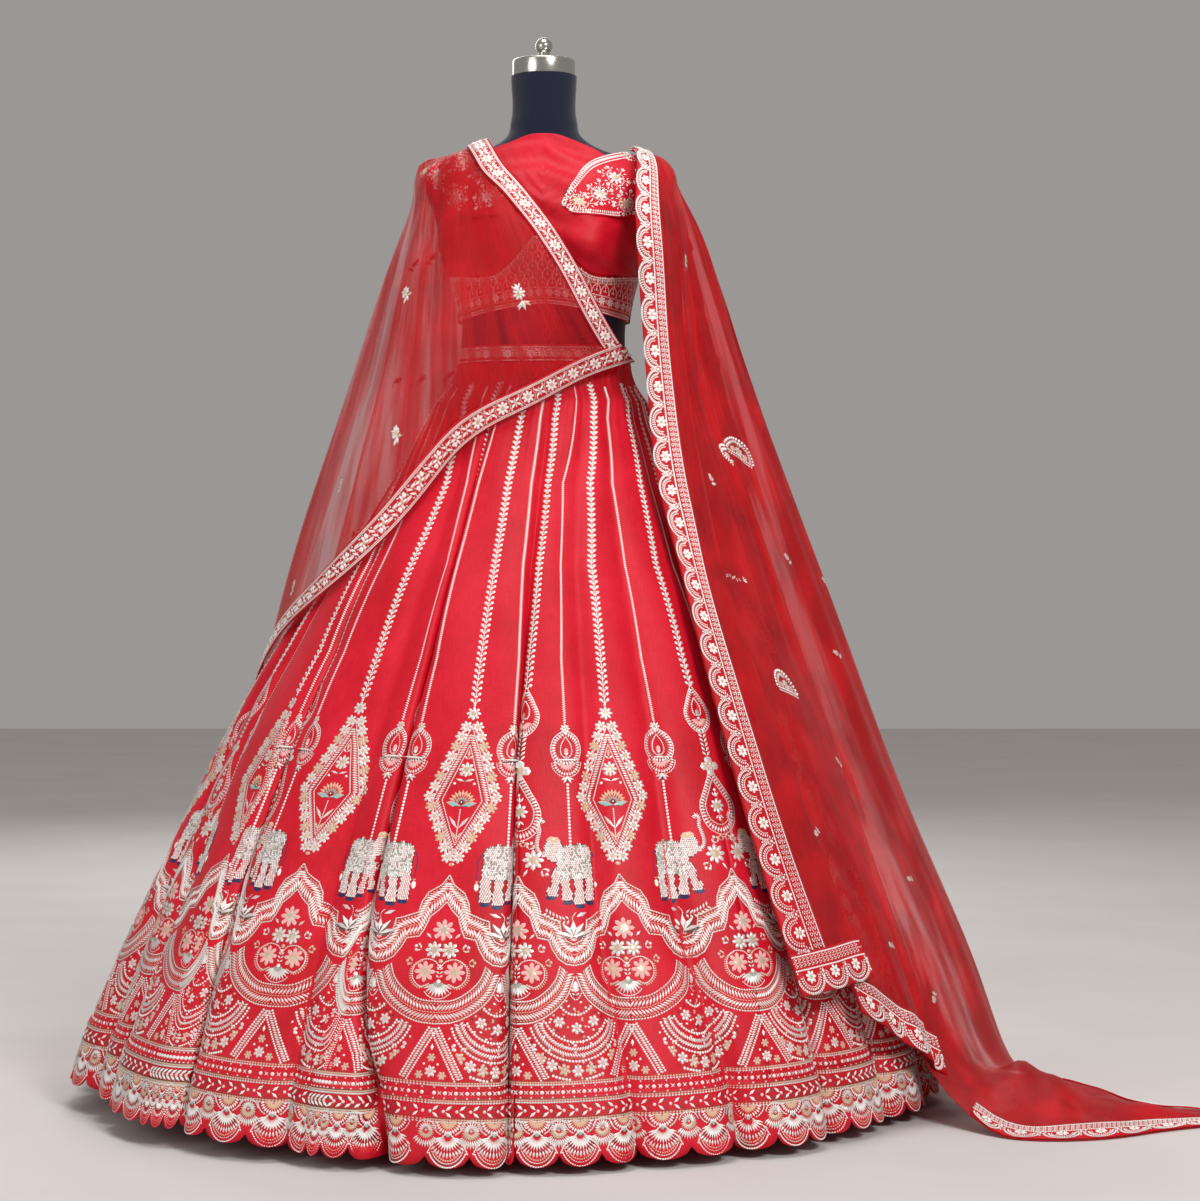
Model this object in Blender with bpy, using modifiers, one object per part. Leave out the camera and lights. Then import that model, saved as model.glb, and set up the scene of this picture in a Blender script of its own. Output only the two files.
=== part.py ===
"""A bridal lehenga choli with its two dupattas, worn by a limbless dress form on a round stand.

Metres, +Z up. The front faces -Y, and an angle of 0 is the front and 90 degrees is +X.
The origin is on the floor, under the middle of the stand's base.
"""

import math

import bpy
import numpy as np
from mathutils.bvhtree import BVHTree

# Driving dimensions
CLOTH = 0.0015  # wall of one layer of silk or net, with its embroidery
TRIM = 0.0022  # wall of an embroidered border
SEAM = 0.0003  # gap between two pieces that are sewn together
SNUG = 0.0013  # the choli's lower edge and the waistband's upper edge, which grip it
BACK_EASE = 0.0012  # how much more the back panels stand off it
YOKE_LIFT = 0.0018  # gap between the choli's yoke and the bust drape that it is sewn on
HEM_LIFT = 0.0012  # the same for the hem border, over folds
LIFT = 0.0008  # gap between a border and the panel that it is sewn on
EASE = 0.0036  # how far the choli stands off the dress form
OVER = 0.006  # how far a dupatta hangs off the skirt's highest folds
SEAT = 0.0004  # how far it lies off the choli on the shoulder, which carries it
SHOULDER_TIP = 1.318
TIP_OVER = 0.0088
SHOULDER_SLOPE = 0.07  # how far from the shoulder's ridge it reaches its full distance
RIDGE_GAP = 0.0008  # how far each part of a dupatta starts from the shoulder's ridge
BODY_OVER = 0.0085  # the least that it stands off the choli, with its sharper curves

FLOOR_GAP = 0.0004  # the lowest point of cloth that lies on the floor
POLE_RADIUS = 0.0125
BASE_RADIUS = 0.19
BASE_HEIGHT = 0.018
NECK_TOP = 1.457
CAP_RADIUS = 0.045
CAP_HEIGHT = 0.024
BALL_RADIUS = 0.0125
FINIAL_NECK = 0.0085

WAISTBAND_TOP = 1.065
WAISTBAND_FOOT = 1.040
WAISTBAND_EASE = 0.0042
# The angles of the seams between the skirt's 14 flared panels, going round once. They are closer together
# where the folds are deeper.
SEAMS = (-2.6, 27.8, 55.0, 82.4, 109.8, 137.2, 164.6, 192.0, 219.6, 247.2, 274.8, 302.6, 319.4, 335.6, 357.4)
KALIS = len(SEAMS) - 1
KALIS_PER_HEM = 2  # panels that one length of hem border goes round
KALI_COLUMNS = 10
# The angles of the skirt's valleys, going round once
VALLEYS = (-60, -43, -29, -17, -3, 11.6, 25, 39, 52, 66, 79, 92, 105, 117, 130, 143)
VALLEYS += (156, 169, 182, 194, 207, 220, 233, 246, 258, 271, 285)
FLUTE_DEPTH = 0.027  # the deepest hem folds, from crest to valley
SCALLOPS_PER_KALI = 6
SCALLOP_COLUMNS = 4
SCALLOP_DEPTH = 0.014
HEM_BORDER = 0.083  # share of the skirt's height that the hem border covers
KALI_FOOT = 0.016  # share of the skirt's height where a panel ends, behind the scallops
KALI_ROWS = (1.0, 0.90, 0.76, 0.55, 0.31, HEM_BORDER + 0.004, KALI_FOOT)

NET_BORDER = 0.032
SILK_BORDER = 0.056


def table(columns, *rows):
    """A table with named columns. The first column is the place where the others are read."""
    return dict(zip(columns.split(), np.array(rows, float).T))


# Sections of the dress form: half of its width, and its depth before and behind the pole
TORSO = table(
    "height half_width front back",
    (0.640, 0.150, 0.105, 0.110),
    (0.700, 0.172, 0.118, 0.128),
    (0.800, 0.182, 0.120, 0.138),
    (0.880, 0.168, 0.111, 0.124),
    (0.960, 0.138, 0.099, 0.099),
    (1.030, 0.121, 0.089, 0.081),
    (1.070, 0.117, 0.086, 0.078),
    (1.110, 0.119, 0.091, 0.084),
    (1.150, 0.127, 0.097, 0.092),
    (1.210, 0.146, 0.106, 0.100),
    (1.260, 0.160, 0.103, 0.102),
    (1.295, 0.171, 0.090, 0.096),
    (1.316, 0.168, 0.072, 0.078),
    (1.330, 0.141, 0.062, 0.066),
    (1.342, 0.108, 0.055, 0.058),
    (1.353, 0.079, 0.051, 0.054),
    (1.368, 0.056, 0.049, 0.051),
    (1.392, 0.048, 0.0485, 0.0485),
    (NECK_TOP, 0.0475, 0.0475, 0.0475),
)
TORSO_ROUNDNESS = 2.2  # 2 is an ellipse, and more is squarer
TORSO_SIDES = 36
TORSO_EXTRA_ROWS = (1.180, 1.235, 1.280)
BUST = {"height": 1.212, "angle": math.radians(30), "spread": math.radians(18), "rise": 0.038, "depth": 0.026}

# The skirt's outline: its radius at the side, and its depth as a share of that
SKIRT = table(
    "height radius roundness",
    (0.010, 0.593, 1.00),
    (0.106, 0.570, 1.00),
    (0.200, 0.538, 1.00),
    (0.295, 0.501, 1.00),
    (0.400, 0.458, 1.00),
    (0.527, 0.406, 1.00),
    (0.600, 0.370, 1.00),
    (0.715, 0.303, 1.00),
    (0.800, 0.248, 0.99),
    (0.910, 0.187, 0.95),
    (0.980, 0.153, 0.88),
    (1.040, 0.1275, 0.77),
)
SKIRT_LEANS_LEFT = 0.055
SKIRT_LEANS_FORWARD = 0.045
GATHERS_FROM = 0.985  # above this height the skirt closes in to the waistband
HEM_CLEARS = 0.009  # height of the scallops' tips at the front, rising towards the left
HEM_RISES = 0.026

# The choli's cut: heights of its edges round one side, from the middle of the front
BAND_EDGES = table(
    "angle foot top",
    (0, 1.121, 1.222),
    (8, 1.1205, 1.214),
    (18, 1.119, 1.190),
    (32, 1.115, 1.168),
    (48, 1.110, 1.162),
    (65, 1.105, 1.165),
    (90, 1.102, 1.170),
)
DRAPE_ANGLES = (0, 9, 18, 25, 32, 39, 46, 53, 59, 64, 67.5, 70.5, 74, 79)  # closer together at the armhole
DRAPE_TOP = table(
    "angle top",
    (0, 1.368),
    (20, 1.3665),
    (38, 1.3600),
    (50, 1.3515),
    (60, 1.3380),
    (67, 1.3120),
    (74, 1.2580),
    (81, 1.2220),
    (90, 1.2120),
)
YOKE_EDGES = table(
    "angle foot top",
    (15, 1.2570, 1.2610),
    (20, 1.2450, 1.2790),
    (28, 1.2410, 1.2960),
    (38, 1.2405, 1.3120),
    (48, 1.2420, 1.3230),
    (58, 1.2470, 1.3300),
    (68, 1.2600, 1.3345),
    (76, 1.2860, 1.3370),
    (84, 1.3080, 1.3385),
    (96, 1.3100, 1.3385),
    (110, 1.3080, 1.3360),
    (126, 1.3060, 1.3290),
)
BACK_EDGES = table(
    "angle foot top",
    (90, 1.102, 1.212),
    (97, 1.102, 1.222),
    (103, 1.102, 1.256),
    (109, 1.102, 1.3055),
    (118, 1.102, 1.3045),
    (126, 1.102, 1.3035),
    (136, 1.102, 1.2880),
    (150, 1.102, 1.2620),
    (165, 1.102, 1.2450),
    (179.4, 1.102, 1.2400),
)

# The net dupatta's edges, each from its start: a point in the room for each row
NET_NECK_EDGE = table(
    "share x y z",
    (0.00, -0.078, -RIDGE_GAP, 1.3560),
    (0.10, -0.072, -0.0450, 1.3450),
    (0.21, -0.057, -0.0820, 1.3150),
    (0.31, -0.035, -0.1150, 1.2900),
    (0.47, 0.008, -0.1500, 1.2305),
    (0.63, 0.047, -0.1440, 1.1700),
    (0.78, 0.080, -0.1220, 1.1080),
    (0.90, 0.108, -0.0930, 1.0630),
    (1.00, 0.128, -0.0680, 1.0420),
)
NET_SHOULDER = table(
    "share x y z",
    (0.00, -0.078, -RIDGE_GAP, 1.3560),
    (0.35, -0.112, -RIDGE_GAP, 1.3480),
    (0.70, -0.147, -RIDGE_GAP, 1.3370),
    (1.00, -0.174, -RIDGE_GAP, 1.3230),
)
NET_OUTER_EDGE = table(
    "share x y z",
    (0.00, -0.174, -RIDGE_GAP, 1.3230),
    (0.20, -0.220, 0.0300, 1.1700),
    (0.50, -0.298, 0.0650, 0.9000),
    (0.75, -0.369, 0.0950, 0.6950),
    (1.00, -0.433, 0.1550, 0.4900),
)
# Its end goes round the skirt: an angle and a height for each row
NET_END = table(
    "share angle height",
    (0.00, 64.0, 1.0420),
    (0.12, 16.5, 1.0120),
    (0.22, -14.8, 0.9660),
    (0.27, -25.3, 0.9530),
    (0.34, -38.4, 0.9250),
    (0.40, -43.8, 0.8910),
    (0.48, -47.2, 0.8330),
    (0.56, -53.0, 0.7755),
    (0.65, -61.4, 0.7220),
    (0.72, -69.0, 0.6900),
    (0.82, -84.0, 0.6380),
    (0.92, -98.0, 0.5560),
    (1.00, -109.7, 0.4900),
)
NET_BACK_NECK_EDGE = table(
    "share x y z",
    (0.00, -0.078, RIDGE_GAP, 1.3560),
    (0.08, -0.078, 0.0600, 1.3350),
    (0.18, -0.083, 0.1080, 1.2750),
    (0.30, -0.094, 0.1270, 1.1800),
    (0.50, -0.108, 0.1700, 0.9800),
    (0.75, -0.128, 0.3400, 0.6300),
    (1.00, -0.150, 0.5300, 0.2700),
)
NET_BACK_SHOULDER = table(
    "share x y z",
    (0.00, -0.078, RIDGE_GAP, 1.3560),
    (0.35, -0.112, RIDGE_GAP, 1.3480),
    (0.70, -0.147, RIDGE_GAP, 1.3370),
    (1.00, -0.174, RIDGE_GAP, 1.3230),
)
NET_BACK_OUTER_EDGE = table(
    "share x y z",
    (0.00, -0.174, RIDGE_GAP, 1.3230),
    (0.15, -0.200, 0.0600, 1.2200),
    (0.35, -0.244, 0.1050, 1.0200),
    (0.60, -0.326, 0.1650, 0.7300),
    (0.85, -0.428, 0.2250, 0.4500),
    (1.00, -0.478, 0.2600, 0.3100),
)
NET_BACK_END = table("share angle height", (0.0, -164.2, 0.270), (0.5, -140.0, 0.270), (1.0, -118.6, 0.310))
NET_FOLDS = 4
NET_FOLD_DEPTH = 0.009

# The silk dupatta hangs between four lines, given by where each is at a height
SILK_LINES = (
    table(  # its bordered edge
        "height x y",
        (0.000, 0.372, -0.520),
        (0.195, 0.318, -0.462),
        (0.368, 0.257, -0.395),
        (0.637, 0.189, -0.290),
        (0.814, 0.164, -0.202),
        (0.983, 0.148, -0.150),
        (1.126, 0.137, -0.143),
        (1.255, 0.132, -0.132),
        (1.320, 0.128, -0.068),
        (1.346, 0.122, -0.001),
    ),
    table(  # the fold where the first pleat turns under
        "height x y",
        (0.000, 0.490, -0.410),
        (0.205, 0.425, -0.372),
        (0.400, 0.345, -0.330),
        (0.637, 0.262, -0.243),
        (0.814, 0.228, -0.163),
        (0.983, 0.200, -0.115),
        (1.126, 0.188, -0.105),
        (1.255, 0.182, -0.086),
        (1.308, 0.174, -0.046),
        (1.336, 0.153, -0.001),
    ),
    table(  # the fold where the second pleat turns under
        "height x y",
        (0.000, 0.550, -0.290),
        (0.115, 0.520, -0.272),
        (0.353, 0.444, -0.205),
        (0.525, 0.386, -0.135),
        (0.686, 0.338, -0.100),
        (0.830, 0.290, -0.075),
        (1.000, 0.224, -0.056),
        (1.135, 0.208, -0.050),
        (1.255, 0.198, -0.036),
        (1.330, 0.167, -0.001),
    ),
    table(  # the edge that falls behind the arm
        "height x y",
        (0.000, 0.668, 0.120),
        (0.160, 0.620, 0.112),
        (0.380, 0.530, 0.085),
        (0.605, 0.451, 0.060),
        (0.715, 0.412, 0.050),
        (0.850, 0.363, 0.045),
        (0.990, 0.312, 0.035),
        (1.130, 0.266, 0.024),
        (1.250, 0.222, 0.006),
        (1.323, 0.178, -0.001),
    ),
)
SILK_STACK = (0.023, 0.021, 0.012, 0.002)  # how far the pleats stand out at each of those lines
# The three pleats: where each starts and ends among those lines, how far it stands out, and its foot
SILK_PLEATS = (
    {
        "name": "silk_dupatta_pleat_1",
        "start": 0.0,
        "end": 1.0,
        "out": 0.023,
        "seat": 0.0048,  # how high it lies on the shoulder
        "feet": (0.196, 0.206),
        "columns": 4,
    },
    {
        "name": "silk_dupatta_pleat_2",
        "start": 0.76,
        "end": 2.0,
        "out": 0.0135,
        "seat": 0.0025,
        "feet": (0.165, 0.060),
        "columns": 5,
    },
    {
        "name": "silk_dupatta_pleat_3",
        "start": 1.76,
        "end": 3.0,
        "out": -0.002,
        "seat": 0.0005,
        "feet": (0.040, 0.010),
        "columns": 8,
    },
)
SILK_ROWS = 15
SILK_RIPPLE = 0.010
SILK_BACK_NECK_EDGE = table(
    "share x y z",
    (0.00, 0.122, RIDGE_GAP, 1.3460),
    (0.10, 0.126, 0.0650, 1.3250),
    (0.22, 0.134, 0.1150, 1.2550),
    (0.45, 0.152, 0.1350, 1.1000),
    (0.65, 0.161, 0.1850, 0.9200),
    (0.85, 0.182, 0.2800, 0.7400),
    (1.00, 0.205, 0.3400, 0.6000),
)
SILK_BACK_SHOULDER = table(
    "share x y z",
    (0.0, 0.178, RIDGE_GAP, 1.3230),
    (0.5, 0.150, RIDGE_GAP, 1.3360),
    (1.0, 0.122, RIDGE_GAP, 1.3460),
)
SILK_BACK_OUTER_EDGE = table(
    "share x y z",
    (0.00, 0.178, RIDGE_GAP, 1.3230),
    (0.12, 0.205, 0.0520, 1.2500),
    (0.35, 0.240, 0.0950, 1.1000),
    (0.60, 0.290, 0.1350, 0.9000),
    (0.82, 0.345, 0.1850, 0.7300),
    (1.00, 0.378, 0.2300, 0.6200),
)
SILK_BACK_END = table("share angle height", (0.0, 121.3, 0.620), (0.5, 136.0, 0.600), (1.0, 149.0, 0.600))

# The third pleat goes on over the floor: its near and far edges, and how high it is heaped between them
TAIL = table(
    "share near_x near_y far_x far_y heap",
    (0.00, 0.560, -0.372, 0.676, 0.105, 0.022),
    (0.15, 0.600, -0.415, 0.712, 0.065, 0.050),
    (0.35, 0.668, -0.440, 0.750, 0.005, 0.036),
    (0.55, 0.748, -0.425, 0.792, -0.080, 0.024),
    (0.78, 0.832, -0.372, 0.846, -0.190, 0.012),
    (1.00, 0.915, -0.330, 0.910, -0.225, 0.005),
)
TAIL_ROWS = 8
TAIL_FOLDS = 1.6


def read(columns, name, at):
    """A column's value at a place on the table's first column, on a smooth curve through its rows."""
    places = columns[next(iter(columns))]
    values = columns[name]
    at = min(max(at, places[0]), places[-1])
    i = min(max(int(np.searchsorted(places, at)) - 1, 0), len(places) - 2)
    slopes = np.gradient(values, places)
    step = places[i + 1] - places[i]
    t = (at - places[i]) / step
    left = (1 + 2 * t) * (1 - t) ** 2 * values[i] + t * (1 - t) ** 2 * step * slopes[i]
    right = t * t * (3 - 2 * t) * values[i + 1] + t * t * (t - 1) * step * slopes[i + 1]
    return float(left + right)


def on_axis(angle, radius, height):
    """The point at an angle, a distance from the pole and a height."""
    return np.array([radius * math.sin(angle), -radius * math.cos(angle), height])


def read_point(columns, share):
    return np.array([read(columns, axis, share) for axis in ("x", "y", "z")])


# The dress form
def torso_radius(angle, height):
    across = read(TORSO, "half_width", height)
    deep = read(TORSO, "front" if math.cos(angle) > 0 else "back", height)
    sides = (abs(math.sin(angle)) / across) ** TORSO_ROUNDNESS + (abs(math.cos(angle)) / deep) ** TORSO_ROUNDNESS
    turn = (math.remainder(angle, 2 * math.pi) - math.copysign(BUST["angle"], math.sin(angle))) / BUST["spread"]
    rise = (height - BUST["height"]) / BUST["rise"]
    return sides ** (-1 / TORSO_ROUNDNESS) + BUST["depth"] * math.exp(-turn * turn - rise * rise)


def torso_point(angle, height, out=0.0):
    """A point on the dress form, or that far off it."""
    turn, rise = 1e-3, 1e-4
    here = on_axis(angle, torso_radius(angle, height), height)
    beside = on_axis(angle + turn, torso_radius(angle + turn, height), height)
    above = on_axis(angle, torso_radius(angle, height + rise), height + rise)
    outwards = np.cross(beside - here, above - here)
    return here + outwards * out / np.linalg.norm(outwards)


# The skirt
def hem_height(angle):
    return HEM_CLEARS + HEM_RISES * max(0.0, -math.sin(angle)) ** 1.5 + 0.006 * max(0.0, math.sin(angle))


def flute(angle, share_of_height):
    """How far the skirt's folds stand out of its outline: broad crests and narrow valleys, deepest at the hem."""
    turned = math.degrees(angle)
    turned -= 360 * math.floor((turned - VALLEYS[0]) / 360)
    starts = [*VALLEYS, VALLEYS[0] + 360]
    place = float(np.interp(turned, starts, range(len(starts))))
    share = place - math.floor(place)
    strength = 0.75 + 0.25 * math.sin(2.3 * math.floor(place) + 0.8)
    width = (starts[min(int(place), len(VALLEYS) - 1) + 1] - starts[min(int(place), len(VALLEYS) - 1)]) / 14
    crest = math.sin(math.pi * share) ** 0.8
    return FLUTE_DEPTH * min(width, 1.2) * strength * max(0.0, 1 - share_of_height) ** 1.25 * crest


def skirt_outline(angle, height):
    wide = read(SKIRT, "radius", height)
    deep = wide * read(SKIRT, "roundness", height)
    oval = 1 / math.hypot(math.sin(angle) / wide, math.cos(angle) / deep)
    gathered = min(max((height - GATHERS_FROM) / (WAISTBAND_FOOT - GATHERS_FROM), 0.0), 1.0)
    oval += (torso_radius(angle, WAISTBAND_FOOT) + WAISTBAND_EASE - oval) * gathered
    lean = SKIRT_LEANS_FORWARD * math.cos(angle) - SKIRT_LEANS_LEFT * math.sin(angle)
    return oval + lean * (1 - height / WAISTBAND_FOOT)


def skirt_point(angle, share_of_height, out=0.0):
    """A point on the skirt, or that far off it. Share 1 is at the waistband and 0 at the scallops' tips."""

    def place(a, s):
        foot = hem_height(a)
        height = foot + s * (WAISTBAND_FOOT - SEAM - foot)
        return on_axis(a, skirt_outline(a, max(height, 0.0)) + flute(a, s), height)

    turn, rise = 2e-3, 1e-3
    here = place(angle, share_of_height)
    outwards = np.cross(
        place(angle + turn, share_of_height) - place(angle - turn, share_of_height),
        place(angle, share_of_height + rise) - place(angle, share_of_height - rise),
    )
    return here + outwards * out / np.linalg.norm(outwards)


def highest_cloth(angle, height):
    """The radius that clears the skirt's folds, at an angle and a height."""
    crest = 1.2 * FLUTE_DEPTH * max(0.0, 1 - height / WAISTBAND_FOOT) ** 1.25
    return skirt_outline(angle, height) + crest + CLOTH + (TRIM + LIFT if height < 0.11 else 0.0)


def dressed_body():
    """The outer side of the choli over the whole body, for the dupattas to lie on."""
    heights = np.concatenate([np.linspace(0.98, 1.30, 20), np.linspace(1.306, 1.40, 26)])
    angles = np.linspace(0, 2 * math.pi, 96, endpoint=False)
    points = [tuple(torso_point(a, h, EASE + 2 * CLOTH + YOKE_LIFT)) for h in heights for a in angles]
    count = len(angles)
    faces = []
    for i in range(len(heights) - 1):
        for j in range(count):
            a, b = i * count + j, i * count + (j + 1) % count
            faces.append((a, b, b + count, a + count))
    return BVHTree.FromPolygons(points, faces)


def over_tip(point):
    """How much more a dupatta stands off where the shoulder turns down into the arm."""
    return TIP_OVER * min(1.0, max(0.0, (abs(point[0]) - 0.135) / 0.03))


def clear_of_cloth(point, out, seat=SEAT):
    """The point, moved until it is that far off what is under it, or less beside the shoulder's ridge."""
    height = point[2]
    if height < WAISTBAND_FOOT:
        radius = math.hypot(point[0], point[1])
        angle = math.atan2(point[0], -point[1])
        point = on_axis(angle, max(radius, highest_cloth(angle, height) + out), height)
    if height < 1.0:
        return point
    near, normal, _, _ = body.find_nearest(tuple(point))
    near, normal = np.array(near), np.array(normal)
    distance = (point - near) @ normal
    from_ridge = max(abs(point[1]), SHOULDER_TIP - height)
    slope = min(1.0, from_ridge / SHOULDER_SLOPE)
    least = seat + (max(out, BODY_OVER) - seat) * slope + over_tip(point) * (1 - slope)
    wanted = least + max(0.0, distance - least) * min(1.0, from_ridge / 0.03)
    return near + normal * wanted


def seated(point, out):
    """The point on the shoulder's ridge that is only that far off the choli."""
    hit, normal, _, _ = body.ray_cast((point[0], point[1], NECK_TOP), (0, 0, -1))
    if hit is None:
        hit, normal, _, _ = body.find_nearest((point[0], point[1], SHOULDER_TIP))
    found = np.array(hit) + np.array(normal) * (out + over_tip(point))
    return np.array([found[0], point[1], found[2]])


# Walls of cloth
def grid_normals(grid):
    """The direction out of the cloth at each of its points."""
    down = np.gradient(grid, axis=0)
    along = np.gradient(grid, axis=1)
    outwards = np.cross(down, along)
    return outwards / np.linalg.norm(outwards, axis=2, keepdims=True)


def moved_out(grid, distance, normals=None):
    return grid + (grid_normals(grid) if normals is None else normals) * distance


def cloth_wall(name, inner, outer, material):
    """A closed wall between two grids of points. Rows run down the cloth, and columns round it."""
    rows, columns = inner.shape[:2]
    layer = rows * columns
    points = np.concatenate([inner.reshape(-1, 3), outer.reshape(-1, 3)])
    faces = []
    for i in range(rows - 1):
        for j in range(columns - 1):
            a, b = i * columns + j, i * columns + j + 1
            c, d = a + columns, b + columns
            halves = [(a, b, d), (a, d, c)]
            if np.linalg.norm(points[b] - points[c]) < np.linalg.norm(points[a] - points[d]):
                halves = [(a, b, c), (b, d, c)]
            faces += halves + [tuple(layer + k for k in reversed(half)) for half in halves]
    rim = [j for j in range(columns)]
    rim += [i * columns + columns - 1 for i in range(1, rows)]
    rim += [(rows - 1) * columns + j for j in range(columns - 2, -1, -1)]
    rim += [i * columns for i in range(rows - 2, 0, -1)]
    for a, b in zip(rim, rim[1:] + rim[:1]):
        faces += [(b, a, layer + a), (b, layer + a, layer + b)]
    mesh = bpy.data.meshes.new(name)
    mesh.from_pydata([tuple(p) for p in points], [], faces)
    return add_object(name, mesh, material)


def sheet_wall(name, grid, material, thickness=CLOTH, out=0.0):
    """A wall of even thickness on a grid of points, moved out of it by a distance."""
    normals = grid_normals(grid)
    return cloth_wall(name, moved_out(grid, out, normals), moved_out(grid, out + thickness, normals), material)


def add_object(name, mesh, material):
    thing = bpy.data.objects.new(name, mesh)
    thing.data.materials.append(material)
    collection.objects.link(thing)
    return thing


def finish(name, colour, roughness, metallic=0.0):
    material = bpy.data.materials.new(name)
    material.use_nodes = True
    shader = material.node_tree.nodes["Principled BSDF"]
    shader.inputs["Base Color"].default_value = (*colour, 1.0)
    shader.inputs["Roughness"].default_value = roughness
    shader.inputs["Metallic"].default_value = metallic
    return material


def turned(name, profile, steps, material):
    """A turned piece. Its profile runs from the axis at the top, down its outer side, back to the axis."""
    mesh = bpy.data.meshes.new(name)
    mesh.from_pydata([(r, 0, z) for r, z in profile], [(i, i + 1) for i in range(len(profile) - 1)], [])
    thing = add_object(name, mesh, material)
    screw = thing.modifiers.new("turn", "SCREW")
    screw.steps = screw.render_steps = steps
    screw.use_merge_vertices = True
    screw.merge_threshold = 0.00005
    return thing


def arc(radius, height, start, end, count):
    """Points of a round profile about the axis, as radius and height."""
    angles = np.linspace(math.radians(start), math.radians(end), count)
    return [(max(radius * math.cos(a), 0.0), height + radius * math.sin(a)) for a in angles]


# The pieces
def build_form():
    angles = np.linspace(0, 2 * math.pi, TORSO_SIDES, endpoint=False)
    heights = sorted([*TORSO["height"], *TORSO_EXTRA_ROWS])
    points = [tuple(torso_point(a, h)) for h in heights for a in angles]
    faces = []
    for i in range(len(heights) - 1):
        for j in range(TORSO_SIDES):
            a, b = i * TORSO_SIDES + j, i * TORSO_SIDES + (j + 1) % TORSO_SIDES
            faces.append((a, b, b + TORSO_SIDES, a + TORSO_SIDES))
    faces.append(tuple(reversed(range(TORSO_SIDES))))
    faces.append(tuple(range((len(heights) - 1) * TORSO_SIDES, len(heights) * TORSO_SIDES)))
    mesh = bpy.data.meshes.new("form_torso")
    mesh.from_pydata(points, [], faces)
    mesh.shade_smooth()
    add_object("form_torso", mesh, black_jersey)

    cap_foot = NECK_TOP + SEAM
    cap_top = cap_foot + CAP_HEIGHT
    dome = 0.003
    profile = [(0, cap_top + dome), (0.6 * CAP_RADIUS, cap_top + 0.8 * dome), (CAP_RADIUS - dome, cap_top)]
    profile += [(CAP_RADIUS, cap_top - dome), (CAP_RADIUS, cap_foot), (0, cap_foot)]
    turned("form_neck_cap", profile, 28, steel)

    finial_foot = cap_top + dome + SEAM
    ball = finial_foot + 0.004 + BALL_RADIUS
    lowest = math.degrees(math.asin(-math.sqrt(1 - (FINIAL_NECK / BALL_RADIUS) ** 2)))
    profile = arc(BALL_RADIUS, ball, 90, lowest, 9)
    profile += [(FINIAL_NECK, finial_foot), (0, finial_foot)]
    turned("form_finial", profile, 20, steel)

    rim = 0.004
    profile = [(0, BASE_HEIGHT), (3 * POLE_RADIUS, BASE_HEIGHT), (0.93 * BASE_RADIUS, 0.62 * BASE_HEIGHT)]
    profile += [(BASE_RADIUS, rim), (BASE_RADIUS, 0), (0, 0)]
    turned("form_base", profile, 32, black_iron)
    foot, top = BASE_HEIGHT + SEAM, TORSO["height"][0] - SEAM
    profile = [(0, top), (POLE_RADIUS, top), (POLE_RADIUS, foot), (0, foot)]
    turned("form_pole", profile, 16, steel)


def choli_piece(name, edges, start, end, columns, rows, out, material, foot="foot", top="top", side=1):
    """A panel of the choli on one side of the body, between its two edges. Angles are in degrees."""

    def point(angle, share, off):
        low, high = read(edges, foot, angle), read(edges, top, angle)
        return torso_point(side * math.radians(angle), high + (low - high) * share, off)

    angles = np.linspace(start, end, columns + 1)
    if side < 0:
        angles = angles[::-1]
    shares = np.linspace(0, 1, rows + 1)
    inner = np.array([[point(a, s, out) for a in angles] for s in shares])
    outer = np.array([[point(a, s, out + CLOTH) for a in angles] for s in shares])
    return cloth_wall(name, inner, outer, material)


def build_choli():
    half_seam = math.degrees(SEAM / 0.15)
    # The plain gathered silk over the bust, one piece from side seam to side seam
    right_side = [*DRAPE_ANGLES, 90 - half_seam]
    sides = [-a for a in right_side[:0:-1]] + right_side
    shares = np.linspace(0, 1, 12) ** 1.3

    def drape_point(angle, share, off):
        low = read(BAND_EDGES, "top", abs(angle)) + SEAM
        high = read(DRAPE_TOP, "top", abs(angle))
        return torso_point(math.radians(angle), high + (low - high) * share, off)

    inner = np.array([[drape_point(a, s, EASE) for a in sides] for s in shares])
    outer = np.array([[drape_point(a, s, EASE + CLOTH) for a in sides] for s in shares])
    cloth_wall("choli_bust_drape", inner, outer, red_silk)

    # The boned midriff band under it
    shares = np.linspace(0, 1, 4)

    def band_point(angle, share, off):
        low, high = read(BAND_EDGES, "foot", abs(angle)), read(BAND_EDGES, "top", abs(angle))
        off -= (EASE - SNUG) * (share == 1)
        return torso_point(math.radians(angle), high + (low - high) * share, off)

    inner = np.array([[band_point(a, s, EASE) for a in sides] for s in shares])
    outer = np.array([[band_point(a, s, EASE + CLOTH) for a in sides] for s in shares])
    cloth_wall("choli_midriff_band", inner, outer, beaded_silk)

    for side, word in ((-1, "right"), (1, "left")):
        yoke_out = EASE + CLOTH + YOKE_LIFT
        choli_piece(f"choli_yoke_{word}", YOKE_EDGES, 15, 126, 17, 5, yoke_out, beaded_silk, side=side)
        choli_piece(f"choli_back_{word}", BACK_EDGES, 90 + half_seam, 179.4, 10, 7, EASE + BACK_EASE, red_silk, side=side)


def build_waistband():
    """The lehenga's belt, in a front and a back half that hook together at the sides."""
    half_seam = math.degrees(SEAM / 0.13)
    for word, start, end in (("front", -90, 90), ("back", 90, 270)):
        angles = np.radians(np.linspace(start + half_seam, end - half_seam, 26))
        edges = ((WAISTBAND_TOP, SNUG), (WAISTBAND_FOOT, WAISTBAND_EASE))
        inner = np.array([[torso_point(a, h, out) for a in angles] for h, out in edges])
        outer = np.array([[torso_point(a, h, out + CLOTH) for a in angles] for h, out in edges])
        cloth_wall(f"lehenga_waistband_{word}", inner, outer, beaded_silk)


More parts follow.
